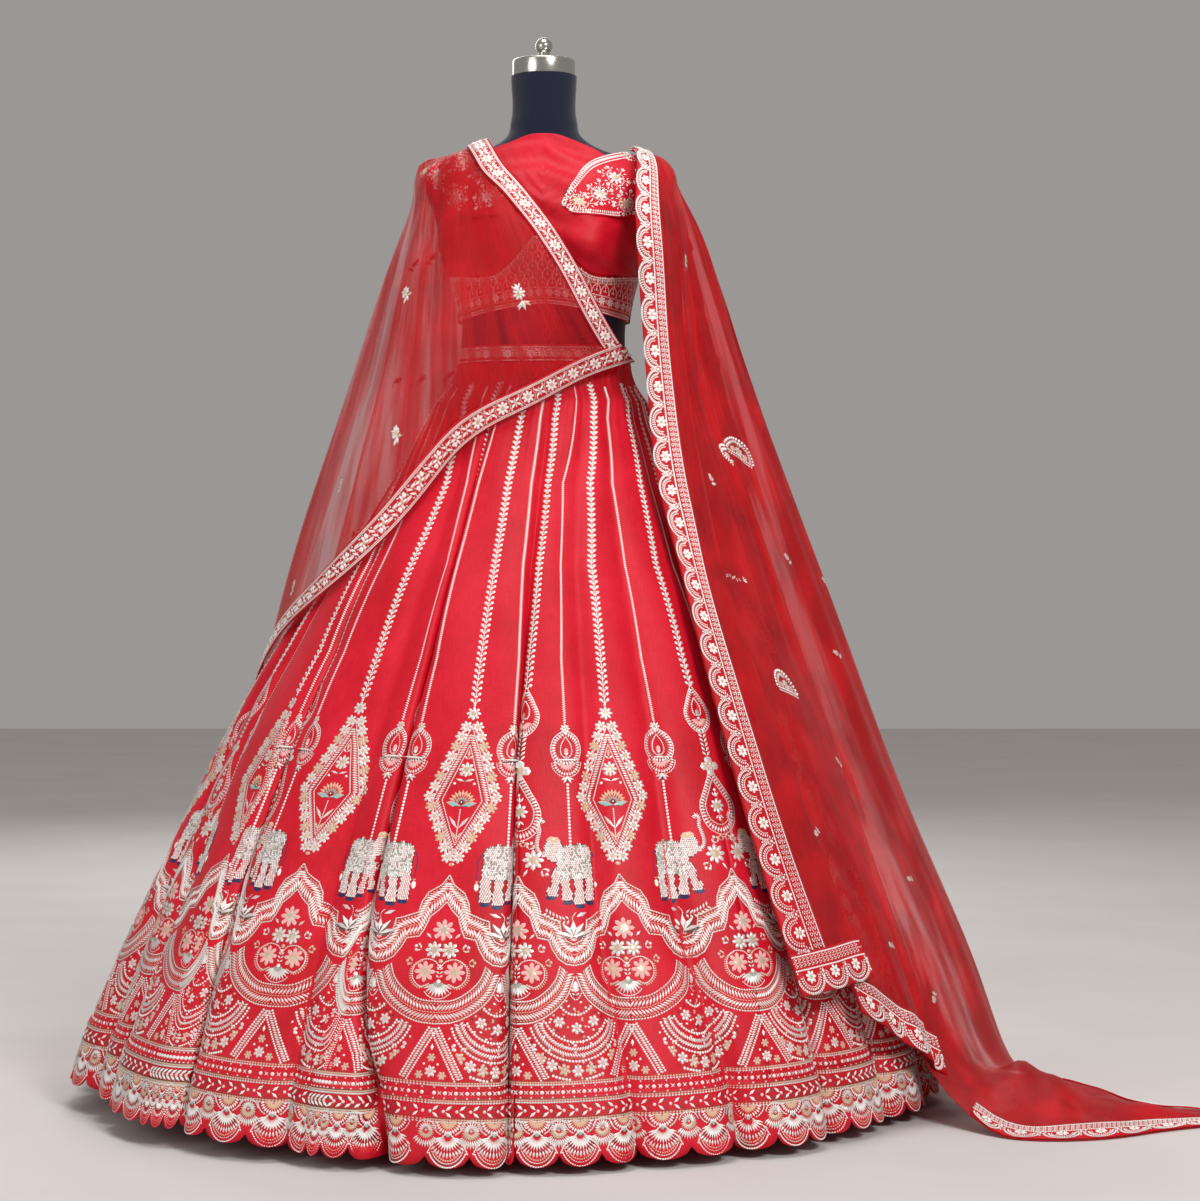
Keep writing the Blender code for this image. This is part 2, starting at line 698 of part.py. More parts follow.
def kali_angles(first, count):
    """Angles across some panels, from seam to seam."""
    places = np.linspace(first, first + count, count * KALI_COLUMNS + 1)
    return np.radians(np.interp(places, range(len(SEAMS)), SEAMS))


def seam_inset(points):
    """Pulls the first and last columns together by half a seam each."""
    inset = points.copy()
    for column, beside in ((0, 1), (-1, -2)):
        step = points[:, beside] - points[:, column]
        inset[:, column] += step * (SEAM * 0.75 / np.linalg.norm(step, axis=1, keepdims=True))
    return inset


def build_skirt():
    for first in range(KALIS):
        angles = kali_angles(first, 1)
        inner = np.array([[skirt_point(a, s) for a in angles] for s in KALI_ROWS])
        outer = np.array([[skirt_point(a, s, CLOTH) for a in angles] for s in KALI_ROWS])
        name = f"lehenga_kali_{first + 1:02d}"
        cloth_wall(name, seam_inset(inner), seam_inset(outer), red_silk)

    for first in range(0, KALIS, KALIS_PER_HEM):
        angles = kali_angles(first, KALIS_PER_HEM)
        high, low = KALI_ROWS[-2:]
        inner, outer = [], []
        for grid, out in ((inner, CLOTH + HEM_LIFT), (outer, CLOTH + HEM_LIFT + TRIM)):
            upper = np.array([skirt_point(a, high, out) for a in angles])
            lower = np.array([skirt_point(a, low, out) for a in angles])
            top_row, foot_row = [], []
            for n in range(KALIS_PER_HEM * SCALLOPS_PER_KALI * SCALLOP_COLUMNS + 1):
                place = n * KALI_COLUMNS / (SCALLOPS_PER_KALI * SCALLOP_COLUMNS)
                i = min(int(place), len(angles) - 2)
                part = place - i
                above = upper[i] * (1 - part) + upper[i + 1] * part
                below = lower[i] * (1 - part) + lower[i + 1] * part
                notch = SCALLOP_DEPTH * (1 - math.sin(math.pi * (n % SCALLOP_COLUMNS) / SCALLOP_COLUMNS) ** 0.7)
                top_row.append(below + (above - below) * (HEM_BORDER - low) / (high - low))
                foot_share = notch / (WAISTBAND_FOOT - HEM_CLEARS)
                foot_row.append(below + (above - below) * (foot_share - low) / (high - low))
            grid += [top_row, foot_row]
        name = f"lehenga_hem_border_{first // KALIS_PER_HEM + 1}"
        cloth_wall(name, seam_inset(np.array(inner)), seam_inset(np.array(outer)), beaded_silk)


def end_point(columns, share, out):
    """A point of a dupatta's end, where it lies round the skirt."""
    angle = math.radians(read(columns, "angle", share))
    height = read(columns, "height", share)
    return on_axis(angle, highest_cloth(angle, height) + out, height)


def hung_sheet(start_edge, side_a, side_b, end_edge, out, folds, depth):
    """A sheet between four edges, held off what is under it. Its sides run down from the shoulder."""
    corners = [read_point(start_edge, 0), read_point(start_edge, 1)]
    corners += [end_point(end_edge, 0, out), end_point(end_edge, 1, out)]
    downs, acrosses = np.linspace(0, 1, 49) ** 1.3, np.linspace(0, 1, 33)
    grid = np.zeros((len(downs), len(acrosses), 3))
    for i, down in enumerate(downs):
        for j, across in enumerate(acrosses):
            start, end = read_point(start_edge, across), end_point(end_edge, across, out)
            a, b = read_point(side_a, down), read_point(side_b, down)
            ruled = (1 - across) * a + across * b + (1 - down) * start + down * end
            ruled -= (1 - across) * (1 - down) * corners[0] + across * (1 - down) * corners[1]
            ruled -= (1 - across) * down * corners[2] + across * down * corners[3]
            swell = depth * (1 - math.cos(2 * math.pi * folds * across)) * math.sin(math.pi * down)
            ruled[:2] *= 1 + swell / math.hypot(ruled[0], ruled[1])
            grid[i, j] = clear_of_cloth(ruled, out)
            if i == 0:
                grid[i, j] = seated(ruled, SEAT)
    return grid


def respaced(grid, axis, stops, slant_limit=1.0):
    """The grid with its lines along an axis cut anew, at the lengths that stops gives for a line.

    A line that meets its last edge at a slant gets more length there, up to the limit, so that a
    border along that edge keeps its true width.
    """
    lines = np.moveaxis(grid, axis, 1)
    edge = np.gradient(lines[:, -1], axis=0)
    ends = lines[:, -1] - lines[:, -4]
    cosines = np.sum(edge * ends, axis=1) / (np.linalg.norm(edge, axis=1) * np.linalg.norm(ends, axis=1))
    slants = np.minimum(1 / np.sqrt(np.maximum(1 - cosines**2, 1e-6)), slant_limit)
    cut = []
    for line, slant in zip(lines, slants):
        lengths = np.concatenate([[0], np.cumsum(np.linalg.norm(np.diff(line, axis=0), axis=1))])
        places = stops(lengths[-1], slant)
        cut.append(np.stack([np.interp(places, lengths, line[:, k]) for k in range(3)], axis=1))
    return np.moveaxis(np.array(cut), 1, axis)


def stops_with_border(width, count, at_start, growth=1.0):
    """Even stops along a line, with one border's width kept at its start or its end."""

    def stops(length, slant):
        side = min(width * slant, 0.3 * length)
        if at_start:
            return np.concatenate([[0], side + (length - side) * np.linspace(0, 1, count)])
        return np.concatenate([(length - side) * np.linspace(0, 1, count) ** growth, [length]])

    return stops


def stops_with_borders(width, count):
    """Even stops along a line, with a border's width kept at both of its ends."""

    def stops(length, slant):
        side = min(width, 0.2 * length)
        return np.concatenate([[0], side + (length - 2 * side) * np.linspace(0, 1, count), [length]])

    return stops


def border_wall(name, grid, rows, columns, material, ends=()):
    """An embroidered border over some cells of a sheet's grid, short of a seam at the ends that are named."""
    normals = grid_normals(grid)[rows, columns]
    faces = []
    for out in (CLOTH + LIFT, CLOTH + LIFT + TRIM):
        face = grid[rows, columns] + normals * out
        for axis, last in ends:
            lines = np.moveaxis(face, axis, 0)
            here, beside = (-1, -2) if last else (0, 1)
            step = lines[beside] - lines[here]
            lines[here] += step * (2 * SEAM / np.linalg.norm(step, axis=1, keepdims=True))
        faces.append(face)
    return cloth_wall(name, faces[0], faces[1], material)


def build_net_dupatta():
    every = slice(None)
    front = hung_sheet(NET_SHOULDER, NET_NECK_EDGE, NET_OUTER_EDGE, NET_END, OVER, NET_FOLDS, NET_FOLD_DEPTH)
    front = respaced(front, 1, stops_with_border(NET_BORDER, 15, True))
    front = respaced(front, 0, stops_with_border(NET_BORDER, 14, False, 1.25), 2.4)[:, ::-1]
    sheet_wall("net_dupatta_front", front, red_net)
    border_wall("net_dupatta_neck_border", front, slice(None, -1), slice(-2, None), beaded_net, [(0, True)])
    border_wall("net_dupatta_end_border", front, slice(-2, None), every, beaded_net)

    back = hung_sheet(
        NET_BACK_SHOULDER, NET_BACK_NECK_EDGE, NET_BACK_OUTER_EDGE, NET_BACK_END, OVER, NET_FOLDS, NET_FOLD_DEPTH
    )
    back = respaced(back, 1, stops_with_border(NET_BORDER, 10, True))
    back = respaced(back, 0, stops_with_border(NET_BORDER, 14, False, 1.9))
    sheet_wall("net_dupatta_back", back, red_net)
    border_wall("net_dupatta_back_neck_border", back, slice(None, -1), slice(None, 2), beaded_net, [(0, True)])
    border_wall("net_dupatta_back_end_border", back, slice(-2, None), every, beaded_net)


def silk_point(place, height, out, seat):
    """A point of the silk dupatta's front. Place 0 to 3 runs across its four lines."""
    polar = []
    for line, stack in zip(SILK_LINES, SILK_STACK):
        at = min(height, line["height"][-1])
        x, y = read(line, "x", at), read(line, "y", at)
        polar.append((math.atan2(x, -y), math.hypot(x, y) - stack))
    places = range(len(SILK_LINES))
    angle = float(np.interp(place, places, [a for a, _ in polar]))
    radius = float(np.interp(place, places, [r for _, r in polar]))
    ripple = SILK_RIPPLE * (1 - math.cos(2 * math.pi * 1.6 * place)) * (1 - height / 1.38) * min(1, place)
    return clear_of_cloth(on_axis(angle, radius + ripple + out, height), OVER + out, seat)


def silk_row(pleat, share):
    """A row of points across a pleat. Share 0 is at the shoulder and 1 at its foot."""
    tops = [line["height"][-1] for line in SILK_LINES]
    row = []
    for across in np.linspace(0, 1, 25):
        place = pleat["start"] + (pleat["end"] - pleat["start"]) * across
        top = float(np.interp(place, range(len(tops)), tops))
        foot = pleat["feet"][0] + (pleat["feet"][1] - pleat["feet"][0]) * across
        point = silk_point(place, top + (foot - top) * share, pleat["out"], pleat["seat"])
        if share == 0:
            x = np.interp(place, range(len(SILK_LINES)), [line["x"][-1] for line in SILK_LINES])
            point = seated((float(x), -RIDGE_GAP - 0.3 * pleat["seat"]), pleat["seat"])
        row.append(point)
    return row


def tail_row(share):
    """A row of points across the tail, where it lies on the floor."""
    row = []
    for across in np.linspace(0, 1, 25):
        x, y = (read(TAIL, "near_" + k, share) * (1 - across) + read(TAIL, "far_" + k, share) * across for k in "xy")
        swell = math.sin(math.pi * across) ** 2 * (0.62 - 0.38 * math.cos(2 * math.pi * TAIL_FOLDS * across))
        row.append([x, y, FLOOR_GAP + read(TAIL, "heap", share) * swell])
    return row


def build_silk_dupatta():
    every = slice(None)
    for pleat in SILK_PLEATS:
        name = pleat["name"]
        if pleat is SILK_PLEATS[-1]:
            rows = [silk_row(pleat, share) for share in np.linspace(0, 1, SILK_ROWS) ** 1.4]
            rows += [tail_row(share) for share in np.linspace(0, 1, TAIL_ROWS + 1)[1:]]
            grid = respaced(np.array(rows), 1, stops_with_borders(SILK_BORDER, pleat["columns"]))
            sheet_wall(name, grid, red_organza)
            tail = slice(SILK_ROWS + 1, None)
            border_wall(name + "_near_border", grid, tail, slice(None, 2), beaded_silk)
            border_wall(name + "_far_border", grid, tail, slice(-2, None), beaded_silk)
            continue
        grid = np.array([silk_row(pleat, share) for share in np.linspace(0, 1, 60) ** 1.5])
        grid = respaced(grid, 1, stops_with_border(SILK_BORDER, pleat["columns"], True))
        grid = respaced(grid, 0, stops_with_border(SILK_BORDER, SILK_ROWS, False, 1.8))
        sheet_wall(name, grid, red_organza)
        border_wall(name + "_end_border", grid, slice(-2, None), every, beaded_silk)
        if pleat is SILK_PLEATS[0]:
            border_wall(name + "_edge_border", grid, slice(None, -1), slice(None, 2), beaded_silk, [(0, True)])

    back = hung_sheet(
        SILK_BACK_SHOULDER, SILK_BACK_OUTER_EDGE, SILK_BACK_NECK_EDGE, SILK_BACK_END, OVER, 3, NET_FOLD_DEPTH
    )
    back = respaced(back, 1, stops_with_border(SILK_BORDER, 8, False))
    back = respaced(back, 0, stops_with_border(SILK_BORDER, 12, False, 1.9))
    sheet_wall("silk_dupatta_back", back, red_organza)
    border_wall("silk_dupatta_back_border", back, slice(-2, None), slice(None), beaded_silk)


def main():
    build_form()
    build_choli()
    build_waistband()
    build_skirt()
    build_net_dupatta()
    build_silk_dupatta()


for old in list(bpy.data.objects):
    bpy.data.objects.remove(old)
collection = bpy.data.collections.new("lehenga_choli")
bpy.context.scene.collection.children.link(collection)
black_jersey = finish("black_jersey", (0.012, 0.014, 0.022), 0.85)
steel = finish("polished_steel", (0.75, 0.74, 0.72), 0.22, 1.0)
black_iron = finish("black_iron", (0.02, 0.02, 0.022), 0.5, 0.4)
red_silk = finish("red_raw_silk", (0.62, 0.012, 0.03), 0.45)
beaded_silk = finish("beaded_silk", (0.70, 0.36, 0.33), 0.4)
red_net = finish("red_net", (0.70, 0.02, 0.03), 0.6)
beaded_net = finish("beaded_net", (0.72, 0.45, 0.40), 0.4)
red_organza = finish("red_organza", (0.66, 0.012, 0.02), 0.4)
body = dressed_body()
main()
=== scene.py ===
import math

import bpy
import numpy as np
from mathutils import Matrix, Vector
from mathutils.bvhtree import BVHTree


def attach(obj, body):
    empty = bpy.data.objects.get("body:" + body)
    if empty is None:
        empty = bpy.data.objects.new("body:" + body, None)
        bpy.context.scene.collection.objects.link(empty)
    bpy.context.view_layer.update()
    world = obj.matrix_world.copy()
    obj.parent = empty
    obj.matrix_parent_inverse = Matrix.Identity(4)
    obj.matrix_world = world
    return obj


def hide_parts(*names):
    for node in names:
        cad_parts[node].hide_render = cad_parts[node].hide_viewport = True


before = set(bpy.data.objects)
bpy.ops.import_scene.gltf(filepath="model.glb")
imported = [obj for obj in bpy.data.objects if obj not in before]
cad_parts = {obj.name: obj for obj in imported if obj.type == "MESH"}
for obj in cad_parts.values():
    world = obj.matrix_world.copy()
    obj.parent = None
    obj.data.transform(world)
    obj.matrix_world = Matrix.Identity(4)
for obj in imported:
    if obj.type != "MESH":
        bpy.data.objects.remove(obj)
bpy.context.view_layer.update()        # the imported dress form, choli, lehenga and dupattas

print("loaded", len(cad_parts), "nodes")

# Sizes in metres, as the solids have them
clothWall = 0.0015  # one layer of silk or net with its embroidery
trimWall = 0.0022  # an embroidered border
seamGap = 0.0003
snugGap = 0.0013
backEase = 0.0012
yokeLift = 0.0018
hemLift = 0.0012
borderLift = 0.0008
choliEase = 0.0036
dupattaOver = 0.006
shoulderSeat = 0.0004
shoulderTip = 1.318
tipOver = 0.0088
shoulderSlope = 0.07
ridgeGap = 0.0008
bodyOver = 0.0085
floorGap = 0.0004
neckTop = 1.457
waistbandTop = 1.065
waistbandFoot = 1.040
waistbandEase = 0.0042
kaliCount = 14
fluteDepth = 0.027
scallopDepth = 0.014
hemBorder = 0.083  # share of the skirt's height
netBorder = 0.032
silkBorder = 0.056


def makeTable(columns, *rows):
    return dict(zip(columns.split(), np.array(rows, float).T))


# Sections of the dress form: half of its width, and its depth before and behind the pole
torsoTable = makeTable(
    "height halfWidth front back",
    (0.64, 0.15, 0.105, 0.11),
    (0.7, 0.172, 0.118, 0.128),
    (0.8, 0.182, 0.12, 0.138),
    (0.88, 0.168, 0.111, 0.124),
    (0.96, 0.138, 0.099, 0.099),
    (1.03, 0.121, 0.089, 0.081),
    (1.07, 0.117, 0.086, 0.078),
    (1.11, 0.119, 0.091, 0.084),
    (1.15, 0.127, 0.097, 0.092),
    (1.21, 0.146, 0.106, 0.1),
    (1.26, 0.16, 0.103, 0.102),
    (1.295, 0.171, 0.09, 0.096),
    (1.316, 0.168, 0.072, 0.078),
    (1.33, 0.141, 0.062, 0.066),
    (1.342, 0.108, 0.055, 0.058),
    (1.353, 0.079, 0.051, 0.054),
    (1.368, 0.056, 0.049, 0.051),
    (1.392, 0.048, 0.0485, 0.0485),
    (neckTop, 0.0475, 0.0475, 0.0475),
)
torsoRoundness = 2.2  # 2 is an ellipse, and more is squarer
bust = {"height": 1.212, "angle": math.radians(30), "spread": math.radians(18), "rise": 0.038, "depth": 0.026}

# The skirt's outline: its radius at the side, and its depth as a share of that
skirtTable = makeTable(
    "height radius roundness",
    (0.01, 0.593, 1.0),
    (0.106, 0.57, 1.0),
    (0.2, 0.538, 1.0),
    (0.295, 0.501, 1.0),
    (0.4, 0.458, 1.0),
    (0.527, 0.406, 1.0),
    (0.6, 0.37, 1.0),
    (0.715, 0.303, 1.0),
    (0.8, 0.248, 0.99),
    (0.91, 0.187, 0.95),
    (0.98, 0.153, 0.88),
    (1.04, 0.1275, 0.77),
)
skirtLeansLeft = 0.055
skirtLeansForward = 0.045
gathersFrom = 0.985  # above this height the skirt closes in to the waistband
hemClears = 0.009  # height of the scallops' tips at the front, rising towards the left
hemRises = 0.026

# The choli's cut: heights of its edges round one side, from the middle of the front
bandEdges = makeTable(
    "angle foot top",
    (0, 1.121, 1.222),
    (8, 1.1205, 1.214),
    (18, 1.119, 1.19),
    (32, 1.115, 1.168),
    (48, 1.11, 1.162),
    (65, 1.105, 1.165),
    (90, 1.102, 1.17),
)
drapeTop = makeTable(
    "angle top",
    (0, 1.368),
    (20, 1.3665),
    (38, 1.36),
    (50, 1.3515),
    (60, 1.338),
    (67, 1.312),
    (74, 1.258),
    (81, 1.222),
    (90, 1.212),
)
yokeEdges = makeTable(
    "angle foot top",
    (15, 1.257, 1.261),
    (20, 1.245, 1.279),
    (28, 1.241, 1.296),
    (38, 1.2405, 1.312),
    (48, 1.242, 1.323),
    (58, 1.247, 1.33),
    (68, 1.26, 1.3345),
    (76, 1.286, 1.337),
    (84, 1.308, 1.3385),
    (96, 1.31, 1.3385),
    (110, 1.308, 1.336),
    (126, 1.306, 1.329),
)
backEdges = makeTable(
    "angle foot top",
    (90, 1.102, 1.212),
    (97, 1.102, 1.222),
    (103, 1.102, 1.256),
    (109, 1.102, 1.3055),
    (118, 1.102, 1.3045),
    (126, 1.102, 1.3035),
    (136, 1.102, 1.288),
    (150, 1.102, 1.262),
    (165, 1.102, 1.245),
    (179.4, 1.102, 1.24),
)

# The net dupatta's edges, each from its start: a point in the room for each row
netNeckEdge = makeTable(
    "share x y z",
    (0.0, -0.078, -ridgeGap, 1.356),
    (0.1, -0.072, -0.045, 1.345),
    (0.21, -0.057, -0.082, 1.315),
    (0.31, -0.035, -0.115, 1.29),
    (0.47, 0.008, -0.15, 1.2305),
    (0.63, 0.047, -0.144, 1.17),
    (0.78, 0.08, -0.122, 1.108),
    (0.9, 0.108, -0.093, 1.063),
    (1.0, 0.128, -0.068, 1.042),
)
netShoulder = makeTable(
    "share x y z",
    (0.0, -0.078, -ridgeGap, 1.356),
    (0.35, -0.112, -ridgeGap, 1.348),
    (0.7, -0.147, -ridgeGap, 1.337),
    (1.0, -0.174, -ridgeGap, 1.323),
)
netOuterEdge = makeTable(
    "share x y z",
    (0.0, -0.174, -ridgeGap, 1.323),
    (0.2, -0.22, 0.03, 1.17),
    (0.5, -0.298, 0.065, 0.9),
    (0.75, -0.369, 0.095, 0.695),
    (1.0, -0.433, 0.155, 0.49),
)
# Its end goes round the skirt: an angle and a height for each row
netEnd = makeTable(
    "share angle height",
    (0.0, 64.0, 1.042),
    (0.12, 16.5, 1.012),
    (0.22, -14.8, 0.966),
    (0.27, -25.3, 0.953),
    (0.34, -38.4, 0.925),
    (0.4, -43.8, 0.891),
    (0.48, -47.2, 0.833),
    (0.56, -53.0, 0.7755),
    (0.65, -61.4, 0.722),
    (0.72, -69.0, 0.69),
    (0.82, -84.0, 0.638),
    (0.92, -98.0, 0.556),
    (1.0, -109.7, 0.49),
)
netBackNeckEdge = makeTable(
    "share x y z",
    (0.0, -0.078, ridgeGap, 1.356),
    (0.08, -0.078, 0.06, 1.335),
    (0.18, -0.083, 0.108, 1.275),
    (0.3, -0.094, 0.127, 1.18),
    (0.5, -0.108, 0.17, 0.98),
    (0.75, -0.128, 0.34, 0.63),
    (1.0, -0.15, 0.53, 0.27),
)
netBackShoulder = makeTable(
    "share x y z",
    (0.0, -0.078, ridgeGap, 1.356),
    (0.35, -0.112, ridgeGap, 1.348),
    (0.7, -0.147, ridgeGap, 1.337),
    (1.0, -0.174, ridgeGap, 1.323),
)
netBackOuterEdge = makeTable(
    "share x y z",
    (0.0, -0.174, ridgeGap, 1.323),
    (0.15, -0.2, 0.06, 1.22),
    (0.35, -0.244, 0.105, 1.02),
    (0.6, -0.326, 0.165, 0.73),
    (0.85, -0.428, 0.225, 0.45),
    (1.0, -0.478, 0.26, 0.31),
)
netBackEnd = makeTable("share angle height", (0.0, -164.2, 0.27), (0.5, -140.0, 0.27), (1.0, -118.6, 0.31))
netFolds = 4
netFoldDepth = 0.009

# The silk dupatta hangs between four lines, given by where each is at a height
silkLines = (
    makeTable(  # its bordered edge
        "height x y",
        (0.0, 0.372, -0.52),
        (0.195, 0.318, -0.462),
        (0.368, 0.257, -0.395),
        (0.637, 0.189, -0.29),
        (0.814, 0.164, -0.202),
        (0.983, 0.148, -0.15),
        (1.126, 0.137, -0.143),
        (1.255, 0.132, -0.132),
        (1.32, 0.128, -0.068),
        (1.346, 0.122, -0.001),
    ),
    makeTable(  # the fold where the first pleat turns under
        "height x y",
        (0.0, 0.49, -0.41),
        (0.205, 0.425, -0.372),
        (0.4, 0.345, -0.33),
        (0.637, 0.262, -0.243),
        (0.814, 0.228, -0.163),
        (0.983, 0.2, -0.115),
        (1.126, 0.188, -0.105),
        (1.255, 0.182, -0.086),
        (1.308, 0.174, -0.046),
        (1.336, 0.153, -0.001),
    ),
    makeTable(  # the fold where the second pleat turns under
        "height x y",
        (0.0, 0.55, -0.29),
        (0.115, 0.52, -0.272),
        (0.353, 0.444, -0.205),
        (0.525, 0.386, -0.135),
        (0.686, 0.338, -0.1),
        (0.83, 0.29, -0.075),
        (1.0, 0.224, -0.056),
        (1.135, 0.208, -0.05),
        (1.255, 0.198, -0.036),
        (1.33, 0.167, -0.001),
    ),
    makeTable(  # the edge that falls behind the arm
        "height x y",
        (0.0, 0.668, 0.12),
        (0.16, 0.62, 0.112),
        (0.38, 0.53, 0.085),
        (0.605, 0.451, 0.06),
        (0.715, 0.412, 0.05),
        (0.85, 0.363, 0.045),
        (0.99, 0.312, 0.035),
        (1.13, 0.266, 0.024),
        (1.25, 0.222, 0.006),
        (1.323, 0.178, -0.001),
    ),
)
silkStack = (0.023, 0.021, 0.012, 0.002)  # how far the pleats stand out at each of those lines
# The three pleats: where each starts and ends among those lines, how far it stands out, and its foot
silkPleats = (
    {
        "name": "silk_dupatta_pleat_1",
        "start": 0.0,
        "end": 1.0,
        "out": 0.023,
        "seat": 0.0048,  # how high it lies on the shoulder
        "feet": (0.196, 0.206),
        "columns": 4,
    },
    {
        "name": "silk_dupatta_pleat_2",
        "start": 0.76,
        "end": 2.0,
        "out": 0.0135,
        "seat": 0.0025,
        "feet": (0.165, 0.06),
        "columns": 5,
    },
    {
        "name": "silk_dupatta_pleat_3",
        "start": 1.76,
        "end": 3.0,
        "out": -0.002,
        "seat": 0.0005,
        "feet": (0.04, 0.01),
        "columns": 8,
    },
)
silkRipple = 0.01
silkBackNeckEdge = makeTable(
    "share x y z",
    (0.0, 0.122, ridgeGap, 1.346),
    (0.1, 0.126, 0.065, 1.325),
    (0.22, 0.134, 0.115, 1.255),
    (0.45, 0.152, 0.135, 1.1),
    (0.65, 0.161, 0.185, 0.92),
    (0.85, 0.182, 0.28, 0.74),
    (1.0, 0.205, 0.34, 0.6),
)
silkBackShoulder = makeTable(
    "share x y z",
    (0.0, 0.178, ridgeGap, 1.323),
    (0.5, 0.15, ridgeGap, 1.336),
    (1.0, 0.122, ridgeGap, 1.346),
)
silkBackOuterEdge = makeTable(
    "share x y z",
    (0.0, 0.178, ridgeGap, 1.323),
    (0.12, 0.205, 0.052, 1.25),
    (0.35, 0.24, 0.095, 1.1),
    (0.6, 0.29, 0.135, 0.9),
    (0.82, 0.345, 0.185, 0.73),
    (1.0, 0.378, 0.23, 0.62),
)
silkBackEnd = makeTable("share angle height", (0.0, 121.3, 0.62), (0.5, 136.0, 0.6), (1.0, 149.0, 0.6))

# The third pleat goes on over the floor: its near and far edges, and how high it is heaped between them
tail = makeTable(
    "share near_x near_y far_x far_y heap",
    (0.0, 0.56, -0.372, 0.676, 0.105, 0.022),
    (0.15, 0.6, -0.415, 0.712, 0.065, 0.05),
    (0.35, 0.668, -0.44, 0.75, 0.005, 0.036),
    (0.55, 0.748, -0.425, 0.792, -0.08, 0.024),
    (0.78, 0.832, -0.372, 0.846, -0.19, 0.012),
    (1.0, 0.915, -0.33, 0.91, -0.225, 0.005),
)
tailFolds = 1.6


# Where the skirt's lines run: D are the panel seams, C the panels' middles, and T is between them.
# Each row is a share of the skirt's height, and the angles of D T C T D T C T D T C T D T C T D
lineShares = (0.0, 0.34, 0.48, 0.60, 0.72, 0.83, 0.92, 1.0)
lineAngles = np.array((
    (-60, -55, -48.5, -46, -44, -41, -33, -26, -23.5, -19, -11.5, -4.5, -2, 5, 12, 21, 29.5),
    (-66, -61, -50.5, -48, -46, -43, -35.3, -25.4, -23.2, -21, -12, -4.3, -2.6, 5, 12, 21.6, 30),
    (-67, -64, -50.5, -48, -46, -42.3, -33.7, -24.6, -22.6, -20.4, -11.2, -4.2, -2.9, 4.8, 12.1, 21.9, 30.5),
    (-68, -64, -50.5, -48, -46, -43, -34.2, -24.2, -22.4, -20.3, -11.4, -4, -1.8, 4.5, 12.7, 22.2, 31),
    (-73, -69, -56, -53, -50.5, -46.3, -36, -25, -23.3, -21.7, -11.6, -4.5, -0.2, 5.4, 13.8, 24.2, 33.2),
    (-86, -80, -67, -63, -58, -50.5, -37, -28, -25.3, -23, -11.9, -3.6, 2.7, 8, 18.6, 28.3, 40.5),
    (-103, -95, -82, -76, -69, -59, -44, -33, -28, -23, -10.9, -1, 7, 17.5, 28, 37, 50),
    (-120, -110, -98, -90, -82, -72, -58, -44, -34, -22, -8, 4, 15, 27, 39, 53, 67),
))
# The skirt's valleys, in panels from the front seam: at the hem, higher up, and how much deeper they fold in
valleys = makeTable(
    "hem high groove",
    (-3.0, -2.8, 0.012), (-1.92, -2.1, 0.024), (-1.36, -1.37, 0.010), (-0.68, -1.0, 0.030), (-0.10, -0.13, 0.022),
    (0.49, 0.38, 0.012), (0.87, 0.72, 0.012), (1.36, 1.36, 0.016), (1.86, 1.86, 0.012), (2.39, 2.39, 0.016),
    (2.89, 2.89, 0.012), (3.39, 3.39, 0.018), (3.88, 3.88, 0.012), (4.34, 4.34, 0.016), (4.84, 4.84, 0.014),
    (5.33, 5.33, 0.018), (5.83, 5.83, 0.012), (6.32, 6.32, 0.016), (6.82, 6.82, 0.014), (7.28, 7.28, 0.018),
    (7.77, 7.77, 0.012), (8.27, 8.27, 0.016), (8.77, 8.77, 0.014), (9.26, 9.26, 0.016), (9.72, 9.72, 0.012),
    (10.22, 10.22, 0.018), (10.75, 10.75, 0.012),
)


def read(columns, name, at):
    # a column's value at places on the first column, on a smooth curve through its rows
    places, values = columns[next(iter(columns))], columns[name]
    at = np.clip(at, places[0], places[-1])
    i = np.clip(np.searchsorted(places, at) - 1, 0, len(places) - 2)
    slopes = np.gradient(values, places)
    step = places[i + 1] - places[i]
    t = (at - places[i]) / step
    start = (1 + 2 * t) * (1 - t) ** 2 * values[i] + t * (1 - t) ** 2 * step * slopes[i]
    return start + t * t * (3 - 2 * t) * values[i + 1] + t * t * (t - 1) * step * slopes[i + 1]


def readPoint(columns, share):
    return np.stack([read(columns, axis, share) for axis in "xyz"], axis=-1)


def onAxis(angle, radius, height):
    angle, radius, height = np.broadcast_arrays(angle, radius, height)
    return np.stack([radius * np.sin(angle), -radius * np.cos(angle), height], axis=-1)


def smooth(t):
    t = np.clip(t, 0.0, 1.0)
    return t * t * (3 - 2 * t)


def unit(v):
    return v / np.maximum(np.linalg.norm(v, axis=-1, keepdims=True), 1e-12)


# The dress form
def torsoRadius(angle, height):
    across = read(torsoTable, "halfWidth", height)
    deep = np.where(np.cos(angle) > 0, read(torsoTable, "front", height), read(torsoTable, "back", height))
    sides = (abs(np.sin(angle)) / across) ** torsoRoundness + (abs(np.cos(angle)) / deep) ** torsoRoundness
    around = np.remainder(angle + np.pi, 2 * np.pi) - np.pi
    turn = (around - np.copysign(bust["angle"], np.sin(around))) / bust["spread"]
    rise = (height - bust["height"]) / bust["rise"]
    return sides ** (-1 / torsoRoundness) + bust["depth"] * np.exp(-turn * turn - rise * rise)


def torsoPoint(angle, height, out=0.0):
    angle, height = np.broadcast_arrays(np.asarray(angle, float), np.asarray(height, float))
    here = onAxis(angle, torsoRadius(angle, height), height)
    beside = onAxis(angle + 1e-3, torsoRadius(angle + 1e-3, height), height)
    above = onAxis(angle, torsoRadius(angle, height + 1e-4), height + 1e-4)
    return here + unit(np.cross(beside - here, above - here)) * np.asarray(out)[..., None]


